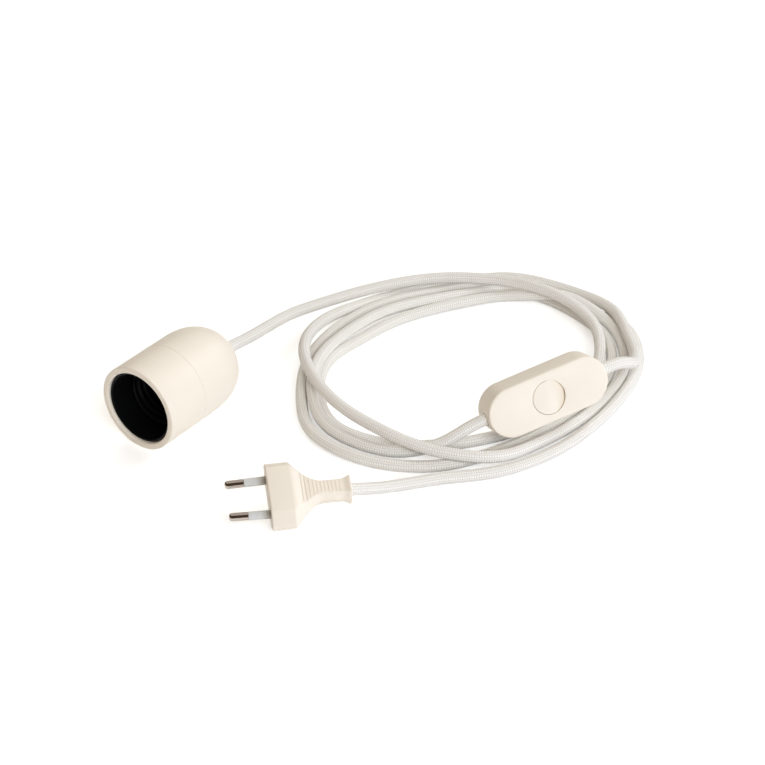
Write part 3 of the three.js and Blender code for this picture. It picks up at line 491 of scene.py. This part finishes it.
def makeCords():
    inHolder = (reach["holder"] - cord["insideHolder"], reach["holder"] + cord["leadHolder"])
    startInHolder = [holderPlace @ Vector((0, 0, z)) for z in inHolder]
    level = cord["levelInSwitch"]
    inside, outside = reach["switch"] - cord["insideSwitch"], reach["switch"] + cord["leadSwitch"]
    toSwitch = [switchPlace @ Vector((x, 0, level)) for x in (outside, inside)]
    fromSwitch = [switchPlace @ Vector((-x, 0, level)) for x in (inside, outside)]
    inPlug = (reach["plug"] + cord["leadPlug"], reach["plug"] - cord["insidePlug"])
    toPlug = [plugPlace @ Vector((x, 0, 0)) for x in inPlug]
    lampPoints = [*startInHolder, *map(metres, holderEnd), *map(onCoil, lampCordTurns)]
    lampPoints += [*map(metres, switchRightEnd), *toSwitch]
    plugPoints = [*fromSwitch, *map(metres, switchLeftEnd), *map(onCoil, plugCordTurns)]
    plugPoints += [*map(metres, plugEnd), *toPlug]
    made = []
    for name, points, node in (("lampCord", lampPoints, "lamp_cord"), ("plugCord", plugPoints, "plug_cord")):
        route, length = smoothRoute(points, cord["step"])
        tube = cordTube(name, route, length)
        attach(tube, "cord_set")
        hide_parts(node)
        made.append((tube, route, length))
        print(name, "is", round(length, 4), "m long")
    return made


cords = makeCords()


# Modelling helpers. Under this distance two points count as one place.
tiny = 0.00001


def deselectAll():
    bpy.ops.object.select_all(action="DESELECT")


def activate(piece):
    deselectAll()
    piece.select_set(True)
    bpy.context.view_layer.objects.active = piece


def applyModifiers(piece):
    activate(piece)
    for modifier in list(piece.modifiers):
        bpy.ops.object.modifier_apply(modifier=modifier.name)


# Draws an outline of (radius, height) points and spins it about Z. It closes on itself or on the axis.
def turned(name, outline, steps=96):
    deselectAll()
    bpy.ops.mesh.primitive_plane_add(size=0.001)
    piece = bpy.context.object
    piece.name = name
    bpy.ops.object.mode_set(mode="EDIT")
    bpy.ops.mesh.select_mode(type="VERT")
    bpy.ops.mesh.select_all(action="SELECT")
    bpy.ops.mesh.merge(type="CENTER")
    radius, height = outline[0]
    bpy.ops.transform.translate(value=(radius, 0, height))
    for (r0, z0), (r1, z1) in zip(outline, outline[1:]):
        bpy.ops.mesh.extrude_vertices_move(TRANSFORM_OT_translate={"value": (r1 - r0, 0, z1 - z0)})
    bpy.ops.mesh.select_all(action="SELECT")
    bpy.ops.mesh.spin(steps=steps, angle=2 * math.pi, center=(0, 0, 0), axis=(0, 0, 1))
    bpy.ops.mesh.select_all(action="SELECT")
    bpy.ops.mesh.remove_doubles(threshold=tiny / 2)
    bpy.ops.mesh.normals_make_consistent(inside=False)
    bpy.ops.object.mode_set(mode="OBJECT")
    return piece


# Points of a rounded edge about (r, z), from one angle to another.
def rounded(r, z, radius, start, end, count=4):
    angles = [math.radians(start + (end - start) * i / count) for i in range(count + 1)]
    return [(r + radius * math.cos(a), z + radius * math.sin(a)) for a in angles]


def cylinder(name, radius, depth, place, turn=(0, 0, 0), sides=64):
    deselectAll()
    bpy.ops.mesh.primitive_cylinder_add(
        vertices=sides, radius=radius, depth=depth, location=place, rotation=turn
    )
    piece = bpy.context.object
    piece.name = name
    bpy.ops.object.transform_apply(location=True, rotation=True, scale=True)
    return piece


def block(name, size, place):
    deselectAll()
    bpy.ops.mesh.primitive_cube_add(size=1, location=place, scale=size)
    piece = bpy.context.object
    piece.name = name
    bpy.ops.object.transform_apply(location=True, rotation=True, scale=True)
    return piece


def cutAway(piece, tool):
    modifier = piece.modifiers.new("tool", "BOOLEAN")
    modifier.operation = "DIFFERENCE"
    modifier.solver = "EXACT"
    modifier.object = tool
    applyModifiers(piece)
    bpy.data.objects.remove(tool)


def softenEdges(piece, width, segments=3, angle=30):
    modifier = piece.modifiers.new("soften", "BEVEL")
    modifier.width = width
    modifier.segments = segments
    modifier.limit_method = "ANGLE"
    modifier.angle_limit = math.radians(angle)
    applyModifiers(piece)


def selectFaces(piece, wanted):
    bpy.ops.object.mode_set(mode="EDIT")
    bpy.ops.mesh.select_mode(type="FACE")
    bpy.ops.mesh.select_all(action="DESELECT")
    bpy.ops.object.mode_set(mode="OBJECT")
    for face in piece.data.polygons:
        face.select = wanted(face.center, face.normal)
    bpy.ops.object.mode_set(mode="EDIT")


def finishPiece(piece, place, material, replaced, body="cord_set", angle=32):
    piece.data.materials.clear()
    piece.data.materials.append(material)
    piece.matrix_world = place
    activate(piece)
    bpy.ops.object.transform_apply(location=True, rotation=True, scale=True)
    bpy.ops.object.shade_smooth_by_angle(angle=math.radians(angle))
    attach(piece, body)
    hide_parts(*replaced)
    return piece


# Lamp holder: round about its axis, heights from the mouth.
holder = {
    "radius": 0.02175,
    "length": reach["holder"],
    "mouth": 0.0186,
    "rimRound": 0.0006,
    "lipRound": 0.0006,
    "seam": 0.0244,
    "seamGap": 0.00008,
    "seamRound": 0.00006,
    "spigot": 0.0308,
    "spigotRadius": 0.01945,
    "capBore": 0.01975,
    "neck": 0.0186,
    "shoulder": 0.0331,
    "innerDomeStart": 0.041,
    "domeStart": 0.0363,
    "domePower": 2.4,
    "cordHole": 0.0033,
    "holeRound": 0.0005,
    "crownDrop": 0.000175,
    "innerCrownDrop": 0.003,
    "sides": 128,
}


def domePoints(radius, start, end, hole, count=22):
    power = holder["domePower"]
    last = math.acos((hole / radius) ** (power / 2))
    height = (end - start) / math.sin(last) ** (2 / power)
    points = []
    for i in range(count + 1):
        angle = last * i / count
        across, up = math.cos(angle) ** (2 / power), math.sin(angle) ** (2 / power)
        points.append((radius * across, start + height * up))
    return points


def makeHolderShell():
    h = holder
    top = h["length"] - h["crownDrop"]
    outside = domePoints(h["radius"], h["domeStart"], top, h["cordHole"] + h["holeRound"])
    lip = rounded(h["cordHole"] + h["holeRound"], top - h["holeRound"], h["holeRound"], 90, 180)
    innerTop = h["length"] - h["innerCrownDrop"]
    inner = domePoints(h["neck"], h["innerDomeStart"], innerTop, h["cordHole"], 12)
    seamTop = h["seam"] + h["seamGap"]
    cap = [(h["radius"], seamTop + h["seamRound"]), *outside, *lip[1:], *reversed(inner)]
    cap += [(h["neck"], h["shoulder"]), (h["capBore"], h["shoulder"]), (h["capBore"], seamTop)]
    cap += [(h["radius"] - h["seamRound"], seamTop), (h["radius"], seamTop + h["seamRound"])]
    capPiece = turned("holderCap", cap, h["sides"])
    rim = rounded(h["radius"] - h["rimRound"], h["rimRound"], h["rimRound"], 0, -90)
    lip = rounded(h["mouth"] + h["lipRound"], h["lipRound"], h["lipRound"], -90, -180)
    skirt = [(h["radius"], h["seam"] - h["seamRound"]), *rim, *lip]
    skirt += [(h["mouth"], h["spigot"]), (h["spigotRadius"], h["spigot"]), (h["spigotRadius"], h["seam"])]
    skirt += [(h["radius"] - h["seamRound"], h["seam"]), (h["radius"], h["seam"] - h["seamRound"])]
    skirtPiece = turned("holderSkirt", skirt, h["sides"])
    finishPiece(capPiece, holderPlace, ivory, ["holder_cap"])
    finishPiece(skirtPiece, holderPlace, ivory, ["holder_skirt"])


insert = {
    "outer": 0.0183,
    "bore": 0.0173,
    "setback": 0.0013,
    "web": 0.017,
    "webThickness": 0.002,
    "webBore": 0.0149,
    "flangeStart": 0.0311,
    "flangeEnd": 0.0328,
    "end": 0.0407,
    "edge": 0.0003,
}
thread = {
    "outer": 0.0146,
    "major": 0.0135,
    "depth": 0.0011,
    "pitch": 0.0254 / 7,
    "start": 0.0127,
    "end": 0.0364,
    "flange": 0.017,
    "flangeStart": 0.0193,
    "flangeEnd": 0.0213,
    "edge": 0.0002,
    "rows": 90,
    "sides": 72,
    "smoothAngle": 60,
}


def makeHolderInside():
    i = insert
    outline = [
        (i["bore"] + i["edge"], i["setback"]), (i["outer"] - i["edge"], i["setback"]),
        (i["outer"], i["setback"] + i["edge"]), (i["outer"], i["flangeStart"]),
        (holder["spigotRadius"], i["flangeStart"]), (holder["spigotRadius"], i["flangeEnd"]),
        (i["outer"], i["flangeEnd"]), (i["outer"], i["end"]), (i["bore"], i["end"]),
        (i["bore"], i["web"] + i["webThickness"]), (i["webBore"], i["web"] + i["webThickness"]),
        (i["webBore"], i["web"] + i["edge"]), (i["webBore"] + i["edge"], i["web"]),
        (i["bore"] - i["edge"], i["web"]), (i["bore"], i["web"] - i["edge"]),
        (i["bore"], i["setback"] + i["edge"]), (i["bore"] + i["edge"], i["setback"]),
    ]
    finishPiece(turned("holderInsert", outline), holderPlace, black, ["holder_insert"])
    t = thread
    wall = [
        (t["major"], t["start"] + (t["end"] - t["start"]) * k / t["rows"]) for k in range(t["rows"] + 1)
    ]
    outside = [
        (t["outer"], t["end"]), (t["outer"], t["flangeEnd"]), (t["flange"], t["flangeEnd"]),
        (t["flange"], t["flangeStart"]), (t["outer"], t["flangeStart"]),
        (t["outer"], t["start"] + t["edge"]), (t["outer"] - t["edge"], t["start"]), wall[0],
    ]
    sleeve = turned("threadSleeve", [*wall, *outside], t["sides"])
    for vertex in sleeve.data.vertices:
        radius = math.hypot(vertex.co.x, vertex.co.y)
        if radius > t["major"] + tiny:
            continue
        z = vertex.co.z
        turn = math.atan2(vertex.co.y, vertex.co.x)
        fade = min(1, (z - t["start"]) / t["pitch"] * 2, (t["end"] - z) / t["pitch"] * 2)
        wave = (1 + math.cos(2 * math.pi * z / t["pitch"] + turn)) / 2
        factor = 1 - t["depth"] * wave * fade / t["major"]
        vertex.co.x *= factor
        vertex.co.y *= factor
    finishPiece(sleeve, holderPlace, black, ["thread_sleeve"], angle=t["smoothAngle"])


makeHolderShell()
makeHolderInside()
print("holder made")

# In-line switch: X along the cord, Y across, Z out of the face.
switch = {
    "straight": 0.0379,
    "endRadius": 0.0123,
    "halfThickness": 0.0075,
    "faceRound": 0.0009,
    "backRound": 0.0005,
    "wall": 0.0026,
    "faceWall": 0.002,
    "rockerHole": 0.00835,
    "holeFlare": 0.0005,
    "collarDepth": 0.0027,
    "collarStep": 0.00004,
    "collarWall": 0.0008,
    "holeRound": 0.0003,
    "plate": 0.0018,
    "plateMargin": 0.0015,
    "plateGap": 0.00015,
    "plateRound": 0.0003,
    "plateSeat": 0.0003,
    "plateSoften": 0.00008,
    "plateSoftenAngle": 50,
    "screwPlace": (0.0135, -0.001),
    "screwSeat": 0.0021,
    "seatDepth": 0.0012,
    "seatTool": 0.003,
    "cordHole": 0.0033,
    "cordTool": 0.08,
    "sides": 128,
}


# Pulls a round piece apart into an oblong one: everything past the middle moves out with its end.
def stretchEnds(piece, keepInside, shift):
    for vertex in piece.data.vertices:
        if math.hypot(vertex.co.x, vertex.co.y) > keepInside and abs(vertex.co.x) > tiny:
            vertex.co.x += math.copysign(shift, vertex.co.x)


def makeSwitchShell():
    s = switch
    face, radius = s["halfThickness"], s["endRadius"]
    recess = radius - s["plateMargin"]
    ledge = s["plate"] - face + s["plateSeat"]
    flared = s["rockerHole"] + s["holeFlare"] + s["collarStep"]
    hole = rounded(s["rockerHole"] + s["holeRound"], face - s["holeRound"], s["holeRound"], 180, 90, 3)
    faceEdge = rounded(radius - s["faceRound"], face - s["faceRound"], s["faceRound"], 90, 0, 5)
    backEdge = rounded(radius - s["backRound"], s["backRound"] - face, s["backRound"], 0, -90, 3)
    outline = [
        (flared, face - s["collarDepth"]), (s["rockerHole"] + s["holeFlare"], face - s["faceWall"]),
        *hole, *faceEdge, *backEdge, (recess, -face), (recess, ledge), (radius - s["wall"], ledge),
        (radius - s["wall"], face - s["faceWall"]), (flared + s["collarWall"], face - s["faceWall"]),
        (flared + s["collarWall"], face - s["collarDepth"]), (flared, face - s["collarDepth"]),
    ]
    shell = turned("switchHousing", outline, s["sides"])
    stretchEnds(shell, flared + s["collarWall"] + 5 * tiny, s["straight"] / 2)
    level = cord["levelInSwitch"]
    way = cylinder("cordWay", s["cordHole"], s["cordTool"], (0, 0, level), (0, math.pi / 2, 0), 48)
    cutAway(shell, way)
    finishPiece(shell, switchPlace, ivory, ["switch_housing"])
    plateRadius = recess - s["plateGap"]
    edge = rounded(plateRadius - s["plateRound"], s["plateRound"] - face, s["plateRound"], -90, 0, 3)
    top = s["plate"] - face
    back = turned("switchBack", [(0, -face), *edge, (plateRadius, top), (0, top)])
    stretchEnds(back, tiny / 2, s["straight"] / 2)
    x, y = s["screwPlace"]
    middle = s["seatDepth"] - s["seatTool"] / 2 - face
    for side in (-1, 1):
        seat = cylinder("screwSeat", s["screwSeat"], s["seatTool"], (side * x, y, middle), sides=40)
        cutAway(back, seat)
    softenEdges(back, s["plateSoften"], 2, s["plateSoftenAngle"])
    finishPiece(back, switchPlace, ivory, ["switch_back"])


rocker = {
    "radius": 0.0082,
    "slope": 7,
    "hingeDepth": 0.0035,
    "thickness": 0.0025,
    "ridge": 0.0013,
    "soften": 0.00022,
    "softenAngle": 40,
    "smoothAngle": 25,
    "sides": 128,
}


# Round button whose halves are each turned about the hinge, so that either half can lie level with the face.
def makeRocker():
    face, r = switch["halfThickness"], rocker
    middle = face - r["thickness"] / 2
    button = cylinder("rockerButton", r["radius"], r["thickness"], (0, 0, middle), sides=r["sides"])
    hinge = (0, 0, face - r["hingeDepth"])
    bpy.ops.object.mode_set(mode="EDIT")
    bpy.ops.mesh.select_all(action="SELECT")
    bpy.ops.mesh.bisect(plane_co=(0, 0, 0), plane_no=(1, 0, 0))
    bpy.ops.mesh.select_mode(type="VERT")
    for side in (-1, 1):
        bpy.ops.mesh.select_all(action="DESELECT")
        bpy.ops.object.mode_set(mode="OBJECT")
        for vertex in button.data.vertices:
            vertex.select = vertex.co.x * side > tiny
        bpy.ops.object.mode_set(mode="EDIT")
        turn = side * math.radians(r["slope"])
        bpy.ops.transform.rotate(value=-turn, orient_axis="Y", center_override=hinge)
    bpy.ops.mesh.select_all(action="DESELECT")
    bpy.ops.mesh.select_mode(type="EDGE")
    bpy.ops.object.mode_set(mode="OBJECT")
    for edge in button.data.edges:
        ends = [button.data.vertices[v].co for v in edge.vertices]
        edge.select = all(abs(co.x) < tiny and co.z > middle for co in ends)
    bpy.ops.object.mode_set(mode="EDIT")
    bpy.ops.mesh.bevel(offset=r["ridge"], segments=8)
    bpy.ops.mesh.select_all(action="SELECT")
    bpy.ops.mesh.normals_make_consistent(inside=False)
    bpy.ops.object.mode_set(mode="OBJECT")
    softenEdges(button, r["soften"], 3, r["softenAngle"])
    around = Matrix.Translation(hinge)
    tipped = around @ Matrix.Rotation(math.radians(r["slope"]), 4, "Y") @ around.inverted()
    place = switchPlace @ tipped
    finishPiece(button, place, ivory, ["rocker"], "rocker", r["smoothAngle"])


makeSwitchShell()
makeRocker()
print("switch made")

# Flat plug: X from its face towards the cord.
plug = {
    "width": 0.0353,
    "thickness": 0.0137,
    "chamfer": 0.0056,
    "blockSide": 0.0104,
    "block": 0.011,
    "shoulder": (0.0124, 0.0139),
    "neckStart": 0.0245,
    "neckWidth": 0.0101,
    "narrowing": 1.45,
    "thinning": 0.0056,
    "neckThickness": 0.009,
    "flareStart": 0.033,
    "flareWidth": 0.0028,
    "flareThickness": 0.0024,
    "lip": 0.001,
    "length": reach["plug"],
    "soften": 0.0006,
    "softenAngle": 18,
    "ribStart": 0.0154,
    "ribPitch": 0.00172,
    "ribCount": 11,
    "ribShare": 0.55,
    "ribReach": 0.45,
    "ribRise": 0.0003,
    "levelEnough": 0.93,
    "tailBore": 0.0032,
    "boreTool": 0.008,
}


# Width and thickness of the plug at a distance from its face.
def plugSize(x):
    p = plug
    width, thickness = p["width"], p["thickness"]
    share = min(1, max(0, (x - p["block"]) / (p["neckStart"] - p["block"])))
    narrow = 1 - (1 - share) ** p["narrowing"]
    thin = min(1, max(0, (x - p["block"]) / p["thinning"]))
    thin = thin * thin * (3 - 2 * thin)
    out = min(1, max(0, (x - p["flareStart"]) / (p["length"] - p["lip"] - p["flareStart"])))
    out = out * out
    width += (p["neckWidth"] - width) * narrow + p["flareWidth"] * out
    thickness += (p["neckThickness"] - thickness) * thin + p["flareThickness"] * out
    return width, thickness


def makePlugBody():
    p = plug
    start = p["blockSide"]
    body = block("plugBody", (start, p["width"], p["thickness"]), (start / 2, 0, 0))
    bpy.ops.object.mode_set(mode="EDIT")
    bpy.ops.mesh.select_mode(type="EDGE")
    bpy.ops.mesh.select_all(action="DESELECT")
    bpy.ops.object.mode_set(mode="OBJECT")
    for edge in body.data.edges:
        a, b = (body.data.vertices[v].co for v in edge.vertices)
        edge.select = abs(a.x - b.x) > start / 2
    bpy.ops.object.mode_set(mode="EDIT")
    bpy.ops.mesh.bevel(offset=p["chamfer"], segments=1)
    bpy.ops.object.mode_set(mode="OBJECT")
    stations = [p["block"], *p["shoulder"], p["ribStart"]]
    for i in range(p["ribCount"]):
        x = p["ribStart"] + i * p["ribPitch"]
        stations += [x + p["ribPitch"] * p["ribShare"], x + p["ribPitch"]]
    tailStart, tailEnd = stations[-1], p["length"] - p["lip"]
    stations += [tailStart + (tailEnd - tailStart) * k / 3 for k in (1, 2, 3)] + [p["length"]]
    selectFaces(body, lambda centre, normal: normal.x > 0.9)
    before = (start, p["width"], p["thickness"])
    for x in stations:
        width, thickness = plugSize(x)
        bpy.ops.mesh.extrude_region_move(TRANSFORM_OT_translate={"value": (x - before[0], 0, 0)})
        bpy.ops.transform.resize(value=(1, width / before[1], thickness / before[2]))
        before = (x, width, thickness)
    bpy.ops.object.mode_set(mode="OBJECT")
    softenEdges(body, p["soften"], 3, p["softenAngle"])
    # Ribs of the grip, raised on the two broad sides.
    ribs = [p["ribStart"] + (i + p["ribShare"] / 2) * p["ribPitch"] for i in range(p["ribCount"])]
    near = p["ribPitch"] * p["ribShare"] * p["ribReach"]
    for up in (-1, 1):

        def isRib(centre, normal):
            onRib = min(abs(centre.x - x) for x in ribs) < near
            return onRib and normal.z * up > p["levelEnough"]

        selectFaces(body, isRib)
        bpy.ops.mesh.extrude_region_move(TRANSFORM_OT_translate={"value": (0, 0, up * p["ribRise"])})
        bpy.ops.object.mode_set(mode="OBJECT")
    bore = cylinder("tailBore", p["tailBore"], p["boreTool"], (p["length"], 0, 0), (0, math.pi / 2, 0), 40)
    cutAway(body, bore)
    return body


pin = {
    "radius": 0.002,
    "length": 0.019,
    "spacing": 0.0186,
    "tipSpacing": 0.0175,
    "tipRound": 0.0017,
    "bare": 0.0088,
    "edge": 0.0001,
    "core": 0.00155,
    "root": 0.003,
    "sleeveGap": 0.0001,
    "coreGap": 0.00005,
    "sleeveEdge": 0.0002,
    "sleeveSlope": 0.00005,
    "slopeLength": 0.0006,
    "sides": 48,
}


def makePins():
    tilt = math.atan((pin["spacing"] - pin["tipSpacing"]) / 2 / pin["length"])
    r, core, root, edge = pin["radius"], pin["core"], pin["root"], pin["edge"]
    tipRound, bare = pin["tipRound"], pin["bare"] - pin["length"]
    tip = rounded(r - tipRound, tipRound - pin["length"], tipRound, -90, 0, 8)
    metal = [(0, -pin["length"]), *tip, (r, bare - edge), (r - edge, bare)]
    metal += [(core, bare), (core, root), (0, root)]
    start, inside = bare + pin["sleeveGap"], core + pin["coreGap"]
    shoulder = r - pin["sleeveSlope"]
    cover = [
        (inside, start), (shoulder - pin["sleeveEdge"], start), (shoulder, start + pin["sleeveEdge"]),
        (r, start + pin["slopeLength"]), (r, root), (inside, root), (inside, start),
    ]
    for i, side in enumerate((-1, 1)):
        lean = Matrix.Rotation(side * tilt, 4, "Z")
        shift = Matrix.Translation((0, side * pin["spacing"] / 2, 0))
        place = plugPlace @ shift @ lean @ Matrix.Rotation(math.pi / 2, 4, "Y")
        metalPiece = turned(f"plugPin{i + 1}", metal, pin["sides"])
        finishPiece(metalPiece, place, nickel, [f"plug_pin_{i + 1}"])
        coverPiece = turned(f"pinSleeve{i + 1}", cover, pin["sides"])
        finishPiece(coverPiece, place, greySleeve, [f"pin_sleeve_{i + 1}"])


plugBody = finishPiece(makePlugBody(), plugPlace, ivory, ["plug_body"])
makePins()
print("plug made")

# The inner pieces keep their own shapes and get the finish of what they are made of.
innerFinishes = {
    "terminal_screw": steel, "clamp_screw": steel, "housing_screw": steel, "holder_terminal_screw": steel,
    "cord_grip_screw": steel, "cord_clamp": steel, "rocker_plunger": steel, "plunger_spring": steel,
    "holder_terminal": brass, "live_terminal": brass, "neutral_bar": brass, "contact_bridge": brass,
    "centre_contact": brass, "side_contact": brass, "contact_carrier": black, "cord_grip": greySleeve,
    "holder_core_1": blueInsulation, "holder_core_2": brownInsulation,
    "switch_core_1": brownInsulation, "switch_core_2": brownInsulation,
    "switch_core_3": blueInsulation, "switch_core_4": blueInsulation,
}


def finishInnerPieces():
    for name, node in nodes.items():
        if node.hide_render:
            continue
        fitting = [key for key in innerFinishes if name.startswith(key)]
        material = innerFinishes[max(fitting, key=len)]
        node.data.materials.clear()
        node.data.materials.append(material)


finishInnerPieces()


# Floor, backdrop and light.
studio = {
    "floorSize": 6,
    "floorColour": (0.93, 0.93, 0.93),
    "floorGlow": 0.48,
    "worldStrength": 0.281,
    "worldColour": (1, 0.723, 0.496),
    "mirroredWorld": 0.35,
}
# Soft lights: bearing and rise in degrees as seen from the middle of the object. One that isn't mirrored
# gives no shine, and one that isn't scattered gives nothing but shine.
lamps = {
    "keyLight": {
        "bearing": -30, "rise": 35, "power": 21.97, "colour": (0.899, 0.975, 1), "mirrored": False,
    },
    "lowLight": {"bearing": -5, "rise": 12, "power": 5.8, "colour": (0.471, 0.62, 1)},
    "sideLight": {"bearing": 60, "rise": 35, "power": 14.03, "colour": (0.903, 0.957, 1)},
    "backLight": {
        "bearing": 150, "rise": 40, "power": 9.75, "colour": (0.798, 0.962, 1), "mirrored": False,
    },
    "ceilingPanel": {
        "bearing": 126, "rise": 62, "power": 32, "colour": (1, 0.97, 0.93), "size": 4, "scattered": False,
    },
}
lampReach = {"middle": (0.06, 0.06, 0), "distance": 2, "size": 1}


def addFloor():
    deselectAll()
    bpy.ops.mesh.primitive_plane_add(size=studio["floorSize"])
    floor = bpy.context.object
    floor.name = "studioFloor"
    colour = (*studio["floorColour"], 1)
    paper = Shader("floorPaper", Roughness=0.9, Base_Color=colour, Emission_Strength=studio["floorGlow"])
    rays = paper.add("ShaderNodeLightPath", output="Is Camera Ray")
    seen = rays + rays.beside("Is Glossy Ray") + rays.beside("Is Transmission Ray")
    glow = paper.mixColour(seen.join("MINIMUM", 1), (0, 0, 0), (1, 1, 1))
    floor.data.materials.append(paper.surfaceTakes(Emission_Color=glow))


# The world is white to the camera, a dim warm light to the object, and dimmer still in reflections.
def addWorld():
    world = bpy.data.worlds.new("studioWorld")
    bpy.context.scene.world = world
    world.use_nodes = True
    tree = world.node_tree
    background = tree.nodes["Background"]
    background.inputs["Color"].default_value = (*studio["worldColour"], 1)
    white = tree.nodes.new("ShaderNodeBackground")
    white.inputs["Color"].default_value = (1, 1, 1, 1)
    white.inputs["Strength"].default_value = 1
    rays = tree.nodes.new("ShaderNodeLightPath")
    both = tree.nodes.new("ShaderNodeMath")
    both.operation = "MAXIMUM"
    mix = tree.nodes.new("ShaderNodeMixShader")
    strength = tree.nodes.new("ShaderNodeMapRange")
    strength.inputs["To Min"].default_value = studio["worldStrength"]
    strength.inputs["To Max"].default_value = studio["worldStrength"] * studio["mirroredWorld"]
    tree.links.new(rays.outputs["Is Glossy Ray"], strength.inputs["Value"])
    tree.links.new(strength.outputs["Result"], background.inputs["Strength"])
    tree.links.new(rays.outputs["Is Camera Ray"], both.inputs[0])
    tree.links.new(rays.outputs["Is Transmission Ray"], both.inputs[1])
    tree.links.new(both.outputs[0], mix.inputs[0])
    tree.links.new(background.outputs[0], mix.inputs[1])
    tree.links.new(white.outputs[0], mix.inputs[2])
    tree.links.new(mix.outputs[0], tree.nodes["World Output"].inputs["Surface"])


def addLamps():
    middle = Vector(lampReach["middle"])
    for name, settings in lamps.items():
        data = bpy.data.lights.new(name, "AREA")
        data.size = settings.get("size", lampReach["size"])
        data.energy = settings["power"]
        data.color = settings["colour"]
        lamp = bpy.data.objects.new(name, data)
        bpy.context.scene.collection.objects.link(lamp)
        bearing, rise = math.radians(settings["bearing"]), math.radians(settings["rise"])
        level = math.cos(rise)
        direction = Vector((level * math.cos(bearing), level * math.sin(bearing), math.sin(rise)))
        lamp.location = middle + lampReach["distance"] * direction
        lamp.visible_camera = False
        lamp.visible_glossy = settings.get("mirrored", True)
        lamp.visible_diffuse = settings.get("scattered", True)
        lamp.rotation_euler = (-direction).to_track_quat("-Z", "Y").to_euler()


addFloor()
addWorld()
addLamps()
print("studio made")
